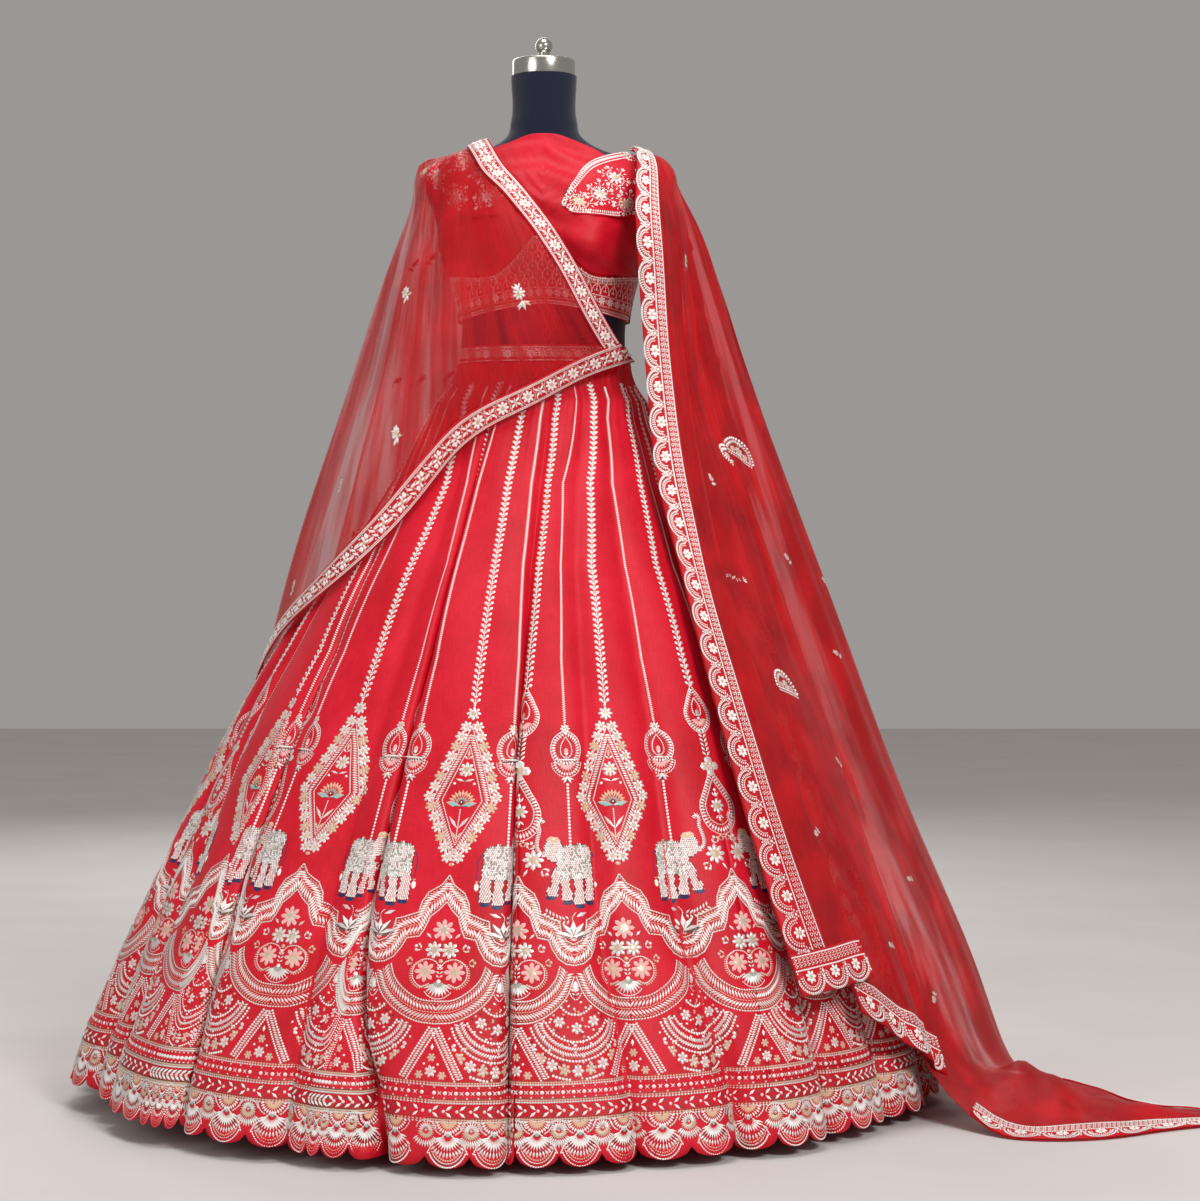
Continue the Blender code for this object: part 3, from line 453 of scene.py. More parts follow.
# The skirt
def hemHeight(angle):
    return hemClears + hemRises * np.maximum(0.0, -np.sin(angle)) ** 1.5 + 0.006 * np.maximum(0.0, np.sin(angle))


def skirtOutline(angle, height):
    wide = read(skirtTable, "radius", height)
    deep = wide * read(skirtTable, "roundness", height)
    oval = 1 / np.hypot(np.sin(angle) / wide, np.cos(angle) / deep)
    gathered = np.clip((height - gathersFrom) / (waistbandFoot - gathersFrom), 0.0, 1.0)
    oval = oval + (torsoRadius(angle, waistbandFoot) + waistbandEase - oval) * gathered
    lean = skirtLeansForward * np.cos(angle) - skirtLeansLeft * np.sin(angle)
    return oval + lean * (1 - height / waistbandFoot)


def lineAngle(panel, share):
    # the angle of a place on the skirt's cloth, counted in panels from the seam at the front
    rows = np.array([np.interp(share, lineShares, column) for column in lineAngles.T])
    places = np.concatenate([np.arange(-3, 1.01, 0.25), [kaliCount - 3]])
    turned = np.remainder(panel + 3, kaliCount) - 3
    return np.radians(np.interp(turned, places, [*rows, rows[0] + 360]))


def flute(panel, share):
    # how far the folds stand out: broad crests with narrow valleys between them, deepest at the hem
    starts = valleys["hem"] + (valleys["high"] - valleys["hem"]) * smooth(share / 0.32)
    turned = np.remainder(panel - starts[0], kaliCount) + starts[0]
    ends = np.append(starts, starts[0] + kaliCount)
    i = np.clip(np.searchsorted(ends, turned, side="right") - 1, 0, len(starts) - 1)
    width = ends[i + 1] - ends[i]
    part = (turned - ends[i]) / width
    fade = max(0.0, 1 - share) ** 1.25
    strength = 0.75 + 0.25 * np.sin(2.3 * i + 0.8)
    crest = fluteDepth * np.minimum(width / 0.54, 1.2) * strength * fade * np.sin(np.pi * np.clip(part, 0, 1)) ** 0.72
    near = np.minimum(part, 1 - part) * width * 0.26 * (0.35 + 0.65 * (1 - share))
    groove = np.append(valleys["groove"], valleys["groove"][0])[np.where(part < 0.5, i, i + 1)]
    fold = groove * (0.25 + 0.75 * fade) * smooth((1 - share) / 0.12) * np.exp(-((near / 0.0095) ** 2))
    return crest - fold


def skirtGrid(panels, shares):
    # rows of points down the skirt's outer side, without its wall
    rows = []
    for share in shares:
        angle = lineAngle(panels, share)
        foot = hemHeight(angle)
        height = foot + share * (waistbandFoot - seamGap - foot)
        gathers = 0.0011 * np.sin(2 * np.pi * 11 * panels)
        gathers = gathers * np.exp(-(((1 - share) / 0.10) ** 2)) * smooth((1 - share) / 0.02)
        ripple = 0.0016 * np.sin(7.3 * panels * 2.1 + 9 * share) * np.sin(2 * np.pi * share * 1.7 + panels)
        radius = skirtOutline(angle, np.maximum(height, 0.0)) + flute(panels, share)
        radius = radius + gathers + ripple * smooth(share / 0.2)
        rows.append(onAxis(angle, radius, height))
    return np.array(rows)


def highestCloth(angle, height):
    crest = 1.2 * fluteDepth * np.maximum(0.0, 1 - height / waistbandFoot) ** 1.25
    return skirtOutline(angle, height) + crest + clothWall + np.where(height < 0.11, trimWall + borderLift, 0.0)


def dressedBody():
    # the choli's outer side over the whole body, for the dupattas to lie on
    heights = np.concatenate([np.linspace(0.98, 1.30, 20), np.linspace(1.306, 1.40, 26)])
    angles = np.linspace(0, 2 * math.pi, 96, endpoint=False)
    points = torsoPoint(angles[None, :], heights[:, None], choliEase + 2 * clothWall + yokeLift)
    count = len(angles)
    faces = []
    for i in range(len(heights) - 1):
        for j in range(count):
            a, b = i * count + j, i * count + (j + 1) % count
            faces.append((a, b, b + count, a + count))
    return BVHTree.FromPolygons([tuple(p) for p in points.reshape(-1, 3)], faces)


body = dressedBody()


def overTip(point):
    return tipOver * min(1.0, max(0.0, (abs(point[0]) - 0.135) / 0.03))


def clearOfCloth(point, out, seat=shoulderSeat):
    # the point, moved until it is that far off what is under it, or less beside the shoulder's ridge
    height = point[2]
    if height < waistbandFoot:
        radius, angle = math.hypot(point[0], point[1]), math.atan2(point[0], -point[1])
        point = onAxis(angle, max(radius, float(highestCloth(angle, height)) + out), height)
    if height < 1.0:
        return point
    near, normal, _, _ = body.find_nearest(tuple(point))
    near, normal = np.array(near), np.array(normal)
    distance = (point - near) @ normal
    fromRidge = max(abs(point[1]), shoulderTip - height)
    slope = min(1.0, fromRidge / shoulderSlope)
    least = seat + (max(out, bodyOver) - seat) * slope + overTip(point) * (1 - slope)
    return near + normal * (least + max(0.0, distance - least) * min(1.0, fromRidge / 0.03))


def seated(point, out):
    hit, normal, _, _ = body.ray_cast((point[0], point[1], neckTop), (0, 0, -1))
    if hit is None:
        hit, normal, _, _ = body.find_nearest((point[0], point[1], shoulderTip))
    found = np.array(hit) + np.array(normal) * (out + overTip(point))
    return np.array([found[0], point[1], found[2]])


# Walls of cloth
def gridNormals(grid):
    return unit(np.cross(np.gradient(grid, axis=0), np.gradient(grid, axis=1)))


def lengths(grid, axis):
    # how far each point is along its line, in metres
    steps = np.linalg.norm(np.diff(grid, axis=axis), axis=2)
    first = np.zeros_like(np.take(steps, [0], axis=axis))
    return np.concatenate([first, np.cumsum(steps, axis=axis)], axis=axis)


def newObject(name, mesh, *materials):
    thing = bpy.data.objects.new(name, mesh)
    for material in materials:
        mesh.materials.append(material)
    bpy.context.scene.collection.objects.link(thing)
    return thing


cloths = {}  # each wall of cloth, with its outer side


def clothWallMesh(name, inner, outer, material):
    # a closed wall between two grids: rows run down the cloth and columns round it. Its UV map is in metres.
    rows, columns = inner.shape[:2]
    layer = rows * columns
    a = (np.arange(rows - 1)[:, None] * columns + np.arange(columns - 1)[None, :]).ravel()
    front = np.stack([a, a + 1, a + columns + 1, a + columns], axis=1)
    rim = np.concatenate([np.arange(columns), np.arange(1, rows) * columns + columns - 1])
    rim = np.concatenate([rim, (rows - 1) * columns + np.arange(columns - 2, -1, -1),
                          np.arange(rows - 2, 0, -1) * columns])
    after = np.roll(rim, -1)
    edge = np.stack([after, rim, layer + rim, layer + after], axis=1)
    faces = np.concatenate([front, layer + front[:, ::-1], edge])
    mesh = bpy.data.meshes.new(name)
    mesh.from_pydata(np.concatenate([inner.reshape(-1, 3), outer.reshape(-1, 3)]).tolist(), [], faces.tolist())
    across = lengths(outer, 1)
    across = across - across[:, [columns // 2]]
    down = np.broadcast_to(lengths(outer, 0)[:, [columns // 2]], across.shape)
    flat = np.stack([across, down], axis=-1).reshape(-1, 2)
    flat = np.concatenate([flat, flat])
    uv = mesh.uv_layers.new(name="cloth")
    uv.data.foreach_set("uv", flat[faces.ravel()].astype(np.float32).ravel())
    mesh.shade_smooth()
    cloths[name] = newObject(name, mesh, material), outer
    return cloths[name][0]


def wallOn(name, grid, material, out=0.0, thickness=clothWall):
    normals = gridNormals(grid)
    return clothWallMesh(name, grid + normals * out, grid + normals * (out + thickness), material)


def hungSheet(startEdge, sideA, sideB, endEdge, out, folds, depth, size=(73, 49)):
    # a sheet between four edges, held off what is under it
    downs, acrosses = np.linspace(0, 1, size[0]) ** 1.3, np.linspace(0, 1, size[1])

    def endPoint(share):
        angle, height = math.radians(float(read(endEdge, "angle", share))), float(read(endEdge, "height", share))
        return onAxis(angle, float(highestCloth(angle, height)) + out, height)

    starts, ends = readPoint(startEdge, acrosses), np.array([endPoint(a) for a in acrosses])
    sidesA, sidesB = readPoint(sideA, downs), readPoint(sideB, downs)
    grid = np.zeros((len(downs), len(acrosses), 3))
    for i, down in enumerate(downs):
        for j, across in enumerate(acrosses):
            ruled = (1 - across) * sidesA[i] + across * sidesB[i] + (1 - down) * starts[j] + down * ends[j]
            ruled = ruled - (1 - across) * (1 - down) * starts[0] - across * (1 - down) * starts[-1]
            ruled = ruled - (1 - across) * down * ends[0] - across * down * ends[-1]
            swell = depth * (1 - math.cos(2 * math.pi * folds * across)) * math.sin(math.pi * down)
            ruled[:2] *= 1 + swell / math.hypot(ruled[0], ruled[1])
            grid[i, j] = seated(ruled, shoulderSeat) if i == 0 else clearOfCloth(ruled, out)
    return grid


def eased(grid, times):
    # takes small wobbles out of a grid: each edge is smoothed along itself, and only the corners stay
    grid = grid.copy()
    for _ in range(times):
        grid[1:-1] = 0.5 * grid[1:-1] + 0.25 * (grid[:-2] + grid[2:])
        grid[:, 1:-1] = 0.7 * grid[:, 1:-1] + 0.15 * (grid[:, :-2] + grid[:, 2:])
    return grid


def respaced(grid, axis, stops, slantLimit=1.0):
    # cuts the grid's lines anew; a line that meets its last edge at a slant gets more length there
    lines = np.moveaxis(grid, axis, 1)
    edge, ends = np.gradient(lines[:, -1], axis=0), lines[:, -1] - lines[:, -4]
    cosines = np.sum(unit(edge) * unit(ends), axis=1)
    slants = np.minimum(1 / np.sqrt(np.maximum(1 - cosines**2, 1e-6)), slantLimit)
    cut = []
    for line, slant in zip(lines, slants):
        along = np.concatenate([[0], np.cumsum(np.linalg.norm(np.diff(line, axis=0), axis=1))])
        places = stops(along[-1], slant)
        cut.append(np.stack([np.interp(places, along, line[:, k]) for k in range(3)], axis=1))
    return np.moveaxis(np.array(cut), 1, axis)


def stopsWithBorders(width, count, inBorder=5, atStart=False, atEnd=False, growth=1.0, most=0.3):
    # stops along a line, with a border's width kept at its ends
    def stops(length, slant):
        side = min(width * slant, most * length)
        low, high = (side if atStart else 0.0), (length - side if atEnd else length)
        middle = low + (high - low) * np.linspace(0, 1, count) ** growth
        before = np.linspace(0, low, inBorder)[:-1] if atStart else []
        after = np.linspace(high, length, inBorder)[1:] if atEnd else []
        return np.concatenate([before, middle, after])

    return stops


# the silk's broad ripples and its small folds, and how far its first border swells out to face the front (metres)
silkFolds = {"ripples": 1.6, "folds": 4.3, "foldDepth": 0.0055, "edgeSwell": 0.024, "edgeEnd": 0.9}


def silkPoint(place, height, out, seat):
    # a point of the silk dupatta's front: place 0 to 3 runs across its four lines
    angles, radii = [], []
    for line, stack in zip(silkLines, silkStack):
        at = min(height, line["height"][-1])
        x, y = float(read(line, "x", at)), float(read(line, "y", at))
        angles.append(math.atan2(x, -y))
        radii.append(math.hypot(x, y) - stack)
    angle = float(np.interp(place, range(4), angles))
    radius = float(np.interp(place, range(4), radii))
    wave = 1 - math.cos(2 * math.pi * silkFolds["ripples"] * place)
    ripple = silkRipple * wave * (1 - height / 1.38) * min(1, place)
    folds = 1 - math.cos(2 * math.pi * (silkFolds["folds"] * place + 0.12 * math.sin(3 * height)))
    folds = folds * min(1, 1.5 * place) * max(0, 1 - height / 1.3) ** 0.6
    ripple = ripple + silkFolds["foldDepth"] * folds * max(0.0, 1 - (0.8 * wave) ** 2 * 0.2)
    if place < silkFolds["edgeEnd"]:
        swell = math.sin(math.pi * place / silkFolds["edgeEnd"]) ** 1.5
        ripple = ripple + silkFolds["edgeSwell"] * swell * max(0.0, 1 - height / 1.36) ** 0.4
    return clearOfCloth(onAxis(angle, radius + ripple + out, height), dupattaOver + out, seat)


def silkRow(pleat, share, count=37):
    tops = [line["height"][-1] for line in silkLines]
    row = []
    for across in np.linspace(0, 1, count):
        place = pleat["start"] + (pleat["end"] - pleat["start"]) * across
        top = float(np.interp(place, range(4), tops))
        foot = pleat["feet"][0] + (pleat["feet"][1] - pleat["feet"][0]) * across
        if share == 0:
            x = float(np.interp(place, range(4), [line["x"][-1] for line in silkLines]))
            row.append(seated((x, -ridgeGap - 0.3 * pleat["seat"]), pleat["seat"]))
        else:
            row.append(silkPoint(place, top + (foot - top) * share, pleat["out"], pleat["seat"]))
    return row


def tailRow(share, count=37):
    across = np.linspace(0, 1, count)
    x, y = (read(tail, "near_" + k, share) * (1 - across) + read(tail, "far_" + k, share) * across for k in "xy")
    # lengthwise folds that rise in the middle, heaped in waves along the tail
    arch = np.sin(np.pi * across)
    swell = arch ** 2 * (0.62 - 0.38 * np.cos(2 * math.pi * tailFolds * across))
    swell = swell * (1.35 + 0.45 * math.sin(2 * math.pi * (5.5 * share + 0.2)))
    swell = swell + 0.25 * arch * (1 + np.sin(9 * across + 14 * share))
    return np.stack([x, y, floorGap + read(tail, "heap", share) * swell], axis=1)


def finishPiece(piece, replaced=()):
    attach(piece, "root")
    if replaced:
        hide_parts(*replaced)
    return piece


# The dress form
formSizes = {"capRadius": 0.045, "capHeight": 0.024, "ballRadius": 0.0125, "finialNeck": 0.0085, "poleRadius": 0.0125,
             "baseRadius": 0.19, "baseHeight": 0.018, "sides": 96}


def turnedPiece(name, profile, material, sides=64, bevel=0.0006):
    # a lathe-turned piece from a closed profile of radius and height, top to bottom on its outer side
    mesh = bpy.data.meshes.new(name)
    mesh.from_pydata([(r, 0, z) for r, z in profile], [(i, i + 1) for i in range(len(profile) - 1)], [])
    thing = newObject(name, mesh, material)
    screw = thing.modifiers.new("turn", "SCREW")
    screw.steps = screw.render_steps = sides
    screw.use_merge_vertices = True
    screw.merge_threshold = 0.00005
    edges = thing.modifiers.new("edges", "BEVEL")
    edges.width, edges.segments = bevel, 2
    made = bpy.data.meshes.new_from_object(thing.evaluated_get(bpy.context.evaluated_depsgraph_get()))
    thing.modifiers.clear()
    thing.data = made
    made.name = name
    made.shade_smooth()
    made.set_sharp_from_angle(angle=math.radians(40))
    return thing


def arc(radius, height, start, end, count):
    angles = np.linspace(math.radians(start), math.radians(end), count)
    return [(max(radius * math.cos(a), 0.0), height + radius * math.sin(a)) for a in angles]


def buildForm():
    sides = formSizes["sides"]
    angles = np.linspace(0, 2 * math.pi, sides, endpoint=False)
    heights = np.concatenate([np.linspace(0.64, 1.29, 48)[:-1], np.linspace(1.29, 1.40, 28)[:-1],
                              np.linspace(1.40, neckTop, 8)])
    points = torsoPoint(angles[None, :], heights[:, None])
    faces = []
    for i in range(len(heights) - 1):
        for j in range(sides):
            a, b = i * sides + j, i * sides + (j + 1) % sides
            faces.append((a, b, b + sides, a + sides))
    faces += [tuple(reversed(range(sides))), tuple(range((len(heights) - 1) * sides, len(heights) * sides))]
    mesh = bpy.data.meshes.new("formTorso")
    mesh.from_pydata(points.reshape(-1, 3).tolist(), [], faces)
    mesh.shade_smooth()
    mesh.set_sharp_from_angle(angle=math.radians(50))
    finishPiece(newObject("formTorso", mesh, blackJersey), ["form_torso"])

    s = formSizes
    foot = neckTop + seamGap
    top = foot + s["capHeight"]
    r = s["capRadius"]
    profile = [(0, top + 0.003), (0.35 * r, top + 0.0028), (0.7 * r, top + 0.0018), (0.9 * r, top + 0.0006),
               (r - 0.0015, top)]
    profile += [(r, top - 0.0018), (r, foot + 0.001), (r - 0.001, foot), (0, foot)]
    finishPiece(turnedPiece("formNeckCap", profile, polishedSteel), ["form_neck_cap"])
    foot = top + 0.003 + seamGap
    ball = foot + 0.004 + s["ballRadius"]
    lowest = math.degrees(math.asin(-math.sqrt(1 - (s["finialNeck"] / s["ballRadius"]) ** 2)))
    profile = arc(s["ballRadius"], ball, 90, lowest, 20) + [(s["finialNeck"], foot), (0, foot)]
    finishPiece(turnedPiece("formFinial", profile, polishedSteel, bevel=0.0003), ["form_finial"])
    r, h = s["baseRadius"], s["baseHeight"]
    profile = [(0, h), (3 * s["poleRadius"], h), (0.93 * r, 0.62 * h), (r, 0.004), (r, 0), (0, 0)]
    finishPiece(turnedPiece("formBase", profile, blackIron, bevel=0.0012), ["form_base"])
    profile = [(0, 0.64 - seamGap), (s["poleRadius"], 0.64 - seamGap), (s["poleRadius"], h + seamGap), (0, h + seamGap)]
    finishPiece(turnedPiece("formPole", profile, polishedSteel, sides=32), ["form_pole"])


charts = {}  # the grids that embroidery is laid on


def keepChart(name, grid, out):
    # rows run from the chart's start; out is how far the cloth's face is off the grid
    normals = gridNormals(grid)
    charts[name] = {"grid": grid + normals * out, "normals": normals}


def buildCholi():
    half = math.degrees(seamGap / 0.15)
    sides = np.linspace(-90 + half, 90 - half, 145)
    shares = np.linspace(0, 1, 56) ** 1.15
    low, high = read(bandEdges, "top", abs(sides)) + seamGap, read(drapeTop, "top", abs(sides))
    heights = high + (low - high) * shares[:, None]
    angles = np.radians(sides)[None, :] + 0 * heights
    swell = 0.5 - 0.5 * np.cos(2 * np.pi * np.clip((heights - 1.20) / 0.15, 0, 1))
    gather = 0.0019 * np.sin(150 * (heights + 0.0005 * abs(sides)) + 0.05 * sides) * smooth((1.375 - heights) / 0.03)
    gather = gather + 0.0012 * swell * np.sin(330 * (heights - 0.0015 * abs(sides)) + 0.06 * sides)
    inner, outer = (torsoPoint(angles, heights, choliEase + off + gather) for off in (0.0, clothWall))
    finishPiece(clothWallMesh("choliBustDrape", inner, outer, rawSilk), ["choli_bust_drape"])

    shares = np.linspace(0, 1, 22)
    low, high = read(bandEdges, "foot", abs(sides)), read(bandEdges, "top", abs(sides))
    heights = high + (low - high) * shares[:, None]
    off = choliEase - (choliEase - snugGap) * smooth((shares[:, None] - 0.8) / 0.2) + 0 * heights
    angles = np.radians(sides)[None, :] + 0 * heights
    inner, outer = torsoPoint(angles, heights, off), torsoPoint(angles, heights, off + clothWall)
    finishPiece(clothWallMesh("choliMidriffBand", inner, outer, rawSilk), ["choli_midriff_band"])
    keepChart("midriff", outer, 0.0)

    for side, word in ((-1, "Right"), (1, "Left")):
        for name, edges, start, end, count, off, slot in (
            ("Yoke", yokeEdges, 15, 126, 64, choliEase + clothWall + yokeLift, "beaded_silk"),
            ("Back", backEdges, 90 + half, 179.4, 48, choliEase + backEase, "red_raw_silk"),
        ):
            degrees = np.linspace(start, end, count)[::side]
            shares = np.linspace(0, 1, 20)
            low, high = read(edges, "foot", degrees), read(edges, "top", degrees)
            heights = high + (low - high) * shares[:, None]
            angles = side * np.radians(degrees)[None, :] + 0 * heights
            inner, outer = torsoPoint(angles, heights, off), torsoPoint(angles, heights, off + clothWall)
            piece = clothWallMesh("choli" + name + word, inner, outer, rawSilk)
            finishPiece(piece, ["choli_" + name.lower() + "_" + word.lower()])
            keepChart(name.lower() + word, outer, 0.0)


def buildWaistband():
    half = math.degrees(seamGap / 0.13)
    for word, start, end in (("Front", -90, 90), ("Back", 90, 270)):
        angles = np.radians(np.linspace(start + half, end - half, 121))
        shares = np.linspace(0, 1, 9)[:, None]
        heights = waistbandTop + (waistbandFoot - waistbandTop) * shares + 0 * angles
        off = snugGap + (waistbandEase - snugGap) * shares + 0 * angles
        inner, outer = (torsoPoint(angles + 0 * heights, heights, off + more) for more in (0.0, clothWall))
        piece = clothWallMesh("waistband" + word, inner, outer, rawSilk)
        finishPiece(piece, ["lehenga_waistband_" + word.lower()])
        keepChart("waistband" + word, outer, 0.0)


seamShare = 0.0012  # the share of a panel's width that stays open at each of its seams


def buildSkirt():
    shares = np.concatenate([1 - np.linspace(0, 1, 16) ** 1.2 * 0.10, np.linspace(0.9, 0.016, 74)[1:]])
    for n in range(kaliCount):
        panels = np.linspace(n + seamShare, n + 1 - seamShare, 41)
        grid = skirtGrid(panels, shares)
        piece = wallOn(f"kali{n + 1:02d}", grid, rawSilk)
        finishPiece(piece, [f"lehenga_kali_{n + 1:02d}"])
        keepChart(f"kali{n + 1:02d}", skirtGrid(np.linspace(n, n + 1, 61), np.linspace(1.0, 0.0, 201)), clothWall)
    for n in range(kaliCount // 2):
        perScallop, high, low = 10, 0.087, 0.016
        panels = np.linspace(2 * n + seamShare, 2 * n + 2 - seamShare, 12 * perScallop + 1)
        base = skirtGrid(panels, [0.13, high, low])
        normals = gridNormals(base)[1:]
        upper, lower = base[1] + normals[0] * (clothWall + hemLift), base[2] + normals[1] * (clothWall + hemLift)
        beat = (np.arange(len(panels)) % perScallop) / perScallop
        notch = scallopDepth * (1 - np.sqrt(np.sin(np.pi * beat)))
        foot = notch / (waistbandFoot - hemClears)
        rows = []
        for share in np.linspace(0, 1, 9):
            at = ((hemBorder + (foot - hemBorder) * share - low) / (high - low))[:, None]
            rows.append(lower + (upper - lower) * at)
        piece = wallOn(f"hemBorder{n + 1}", np.array(rows), rawSilk, 0.0, trimWall)
        finishPiece(piece, [f"lehenga_hem_border_{n + 1}"])


def borderPiece(name, cad, grid, rows=slice(None), columns=slice(None), slot="beaded_silk"):
    # a close-woven strip over the rows and columns of a sheet's grid, with the chart for its embroidery
    normals = gridNormals(grid)[rows, columns]
    face = grid[rows, columns]
    low, high = clothWall + borderLift, clothWall + borderLift + trimWall
    finishPiece(clothWallMesh(name, face + normals * low, face + normals * high, redBorder), [cad])
    charts[name] = {"grid": face + normals * high, "normals": normals}


def buildNetDupatta():
    b = 5  # rows or columns across a border
    first, last, above = slice(None, b), slice(-b, None), slice(None, -b + 1)
    front = hungSheet(netShoulder, netNeckEdge, netOuterEdge, netEnd, dupattaOver, netFolds, netFoldDepth)
    front = respaced(eased(front, 12), 1, stopsWithBorders(netBorder, 49, b, atStart=True))
    front = respaced(front, 0, stopsWithBorders(netBorder, 70, b, atEnd=True, growth=1.25), 2.4)[:, ::-1]
    finishPiece(wallOn("netDupattaFront", front, redNet), ["net_dupatta_front"])
    keepChart("netFront", front, clothWall)
    borderPiece("netNeckBorder", "net_dupatta_neck_border", front, above, last, "beaded_net")
    borderPiece("netEndBorder", "net_dupatta_end_border", front, last, slot="beaded_net")
    back = hungSheet(netBackShoulder, netBackNeckEdge, netBackOuterEdge, netBackEnd, dupattaOver, netFolds,
                     netFoldDepth)
    back = respaced(eased(back, 12), 1, stopsWithBorders(netBorder, 41, b, atStart=True))
    back = respaced(back, 0, stopsWithBorders(netBorder, 70, b, atEnd=True, growth=1.9))
    finishPiece(wallOn("netDupattaBack", back, redNet), ["net_dupatta_back"])
    keepChart("netBack", back, clothWall)
    borderPiece("netBackNeckBorder", "net_dupatta_back_neck_border", back, above, first, "beaded_net")
    borderPiece("netBackEndBorder", "net_dupatta_back_end_border", back, last, slot="beaded_net")


edgeFullness = 1.3  # the first silk border is this much wider than the others, as it hangs at a slant


def buildSilkDupatta():
    b, bodyRows = 6, 57  # rows or columns across a border, and the third pleat's rows above its tail
    first, last, above = slice(None, b), slice(-b, None), slice(None, -b + 1)
    for n, pleat in enumerate(silkPleats):
        name, cad = f"silkPleat{n + 1}", f"silk_dupatta_pleat_{n + 1}"
        if n == 2:
            rows = [silkRow(pleat, share, 61) for share in np.linspace(0, 1, bodyRows) ** 1.4]
            rows += [tailRow(share, 61) for share in np.linspace(0, 1, 33)[4:]]
            grid = respaced(eased(np.array(rows), 4), 1, stopsWithBorders(silkBorder, 51, b, True, True, most=0.2))
            finishPiece(wallOn(name, grid, redOrganza), [cad])
            borderPiece(name + "NearBorder", cad + "_near_border", grid, slice(bodyRows, None), first)
            borderPiece(name + "FarBorder", cad + "_far_border", grid, slice(bodyRows, None), last)
            keepChart(name, grid, clothWall)
            continue
        grid = eased(np.array([silkRow(pleat, share) for share in np.linspace(0, 1, 90) ** 1.5]), 14 if n == 0 else 5)
        grid = respaced(grid, 1, stopsWithBorders(edgeFullness * silkBorder, 28, b, atStart=True, most=0.5))
        grid = respaced(grid, 0, stopsWithBorders(silkBorder, 90, b, atEnd=True, growth=1.8))
        finishPiece(wallOn(name, grid, redOrganza), [cad])
        keepChart(name, grid, clothWall)
        borderPiece(name + "EndBorder", cad + "_end_border", grid, last)
        if n == 0:
            borderPiece(name + "EdgeBorder", cad + "_edge_border", grid, above, first)
    back = hungSheet(silkBackShoulder, silkBackOuterEdge, silkBackNeckEdge, silkBackEnd, dupattaOver, 3, netFoldDepth)
    back = respaced(back, 1, stopsWithBorders(silkBorder, 41, b, atEnd=True))
    back = respaced(back, 0, stopsWithBorders(silkBorder, 60, b, atEnd=True, growth=1.9))
    finishPiece(wallOn("silkDupattaBack", back, redOrganza), ["silk_dupatta_back"])
    borderPiece("silkBackBorder", "silk_dupatta_back_border", back, last)
    keepChart("silkBack", back, clothWall)


# Materials
def linear(hexColour):
    parts = [int(hexColour[i:i + 2], 16) / 255 for i in (1, 3, 5)]
    return (*[p / 12.92 if p <= 0.04045 else ((p + 0.055) / 1.055) ** 2.4 for p in parts], 1.0)


def addNode(tree, kind, inputs=None, **settings):
    made = tree.nodes.new(kind)
    for key, value in settings.items():
        setattr(made, key, value)
    for key, value in (inputs or {}).items():
        if isinstance(value, bpy.types.NodeSocket):
            tree.links.new(value, made.inputs[key])
        else:
            made.inputs[key].default_value = value
    return made


def newMaterial(name, **values):
    material = bpy.data.materials.new(name)
    material.use_nodes = True
    shader = material.node_tree.nodes["Principled BSDF"]
    for key, value in values.items():
        socket = shader.inputs[key.replace("_", " ")]
        socket.default_value = linear(value) if isinstance(value, str) else value
    return material, material.node_tree, shader


def ramp(tree, value, *stops):
    # a colour for each place on a value from 0 to 1
    made = addNode(tree, "ShaderNodeValToRGB", {"Fac": value})
    elements = made.color_ramp.elements
    while len(elements) < len(stops):
        elements.new(0.5)
    for element, (place, colour) in zip(elements, stops):
        element.position, element.color = place, linear(colour)
    return made.outputs["Color"]


def reckon(tree, operation, *values, **settings):
    return addNode(tree, "ShaderNodeMath", dict(enumerate(values)), operation=operation, **settings).outputs[0]


def noise(tree, place, scale, detail, roughness=0.5, stretch=None):
    # a noise over a place, which is stretched first where asked
    if stretch:
        place = addNode(tree, "ShaderNodeMapping", {"Vector": place, "Scale": stretch}).outputs[0]
    inputs = {"Vector": place, "Scale": scale, "Detail": detail, "Roughness": roughness}
    return addNode(tree, "ShaderNodeTexNoise", inputs).outputs["Fac"]


def bumped(tree, shader, height, strength, distance):
    bump = addNode(tree, "ShaderNodeBump", {"Height": height, "Strength": strength, "Distance": distance})
    tree.links.new(bump.outputs[0], shader.inputs["Normal"])


def wovenSilk(name, dark, middle, bright, roughness, slubs, sheen):
    # hand-woven dupion: uneven weft threads show as fine level streaks, and the filament gives a soft sheen
    material, tree, shader = newMaterial(name, Roughness=roughness, Sheen_Weight=sheen, Sheen_Roughness=0.35,
                                         Specular_IOR_Level=0.3)
    shader.inputs["Sheen Tint"].default_value = linear("#FF5A6A")
    place = addNode(tree, "ShaderNodeUVMap", uv_map="cloth").outputs["UV"]
    streaks = noise(tree, place, 1.0, 3.0, 0.7, (55, 1100, 1))  # slubs 0.9 mm apart, 20 mm long
    warps = noise(tree, place, 1.0, 2.0, stretch=(900, 40, 1))
    clouds = noise(tree, addNode(tree, "ShaderNodeTexCoord").outputs["Object"], 9.0, 4.0, 0.6)
    both = reckon(tree, "ADD", streaks, warps)
    low = reckon(tree, "SUBTRACT", reckon(tree, "MULTIPLY_ADD", both, slubs, clouds), slubs)
    tree.links.new(ramp(tree, low, (0.25, dark), (0.5, middle), (0.78, bright)), shader.inputs["Base Color"])
    bumped(tree, shader, both, 0.35, 0.0004)
    return material


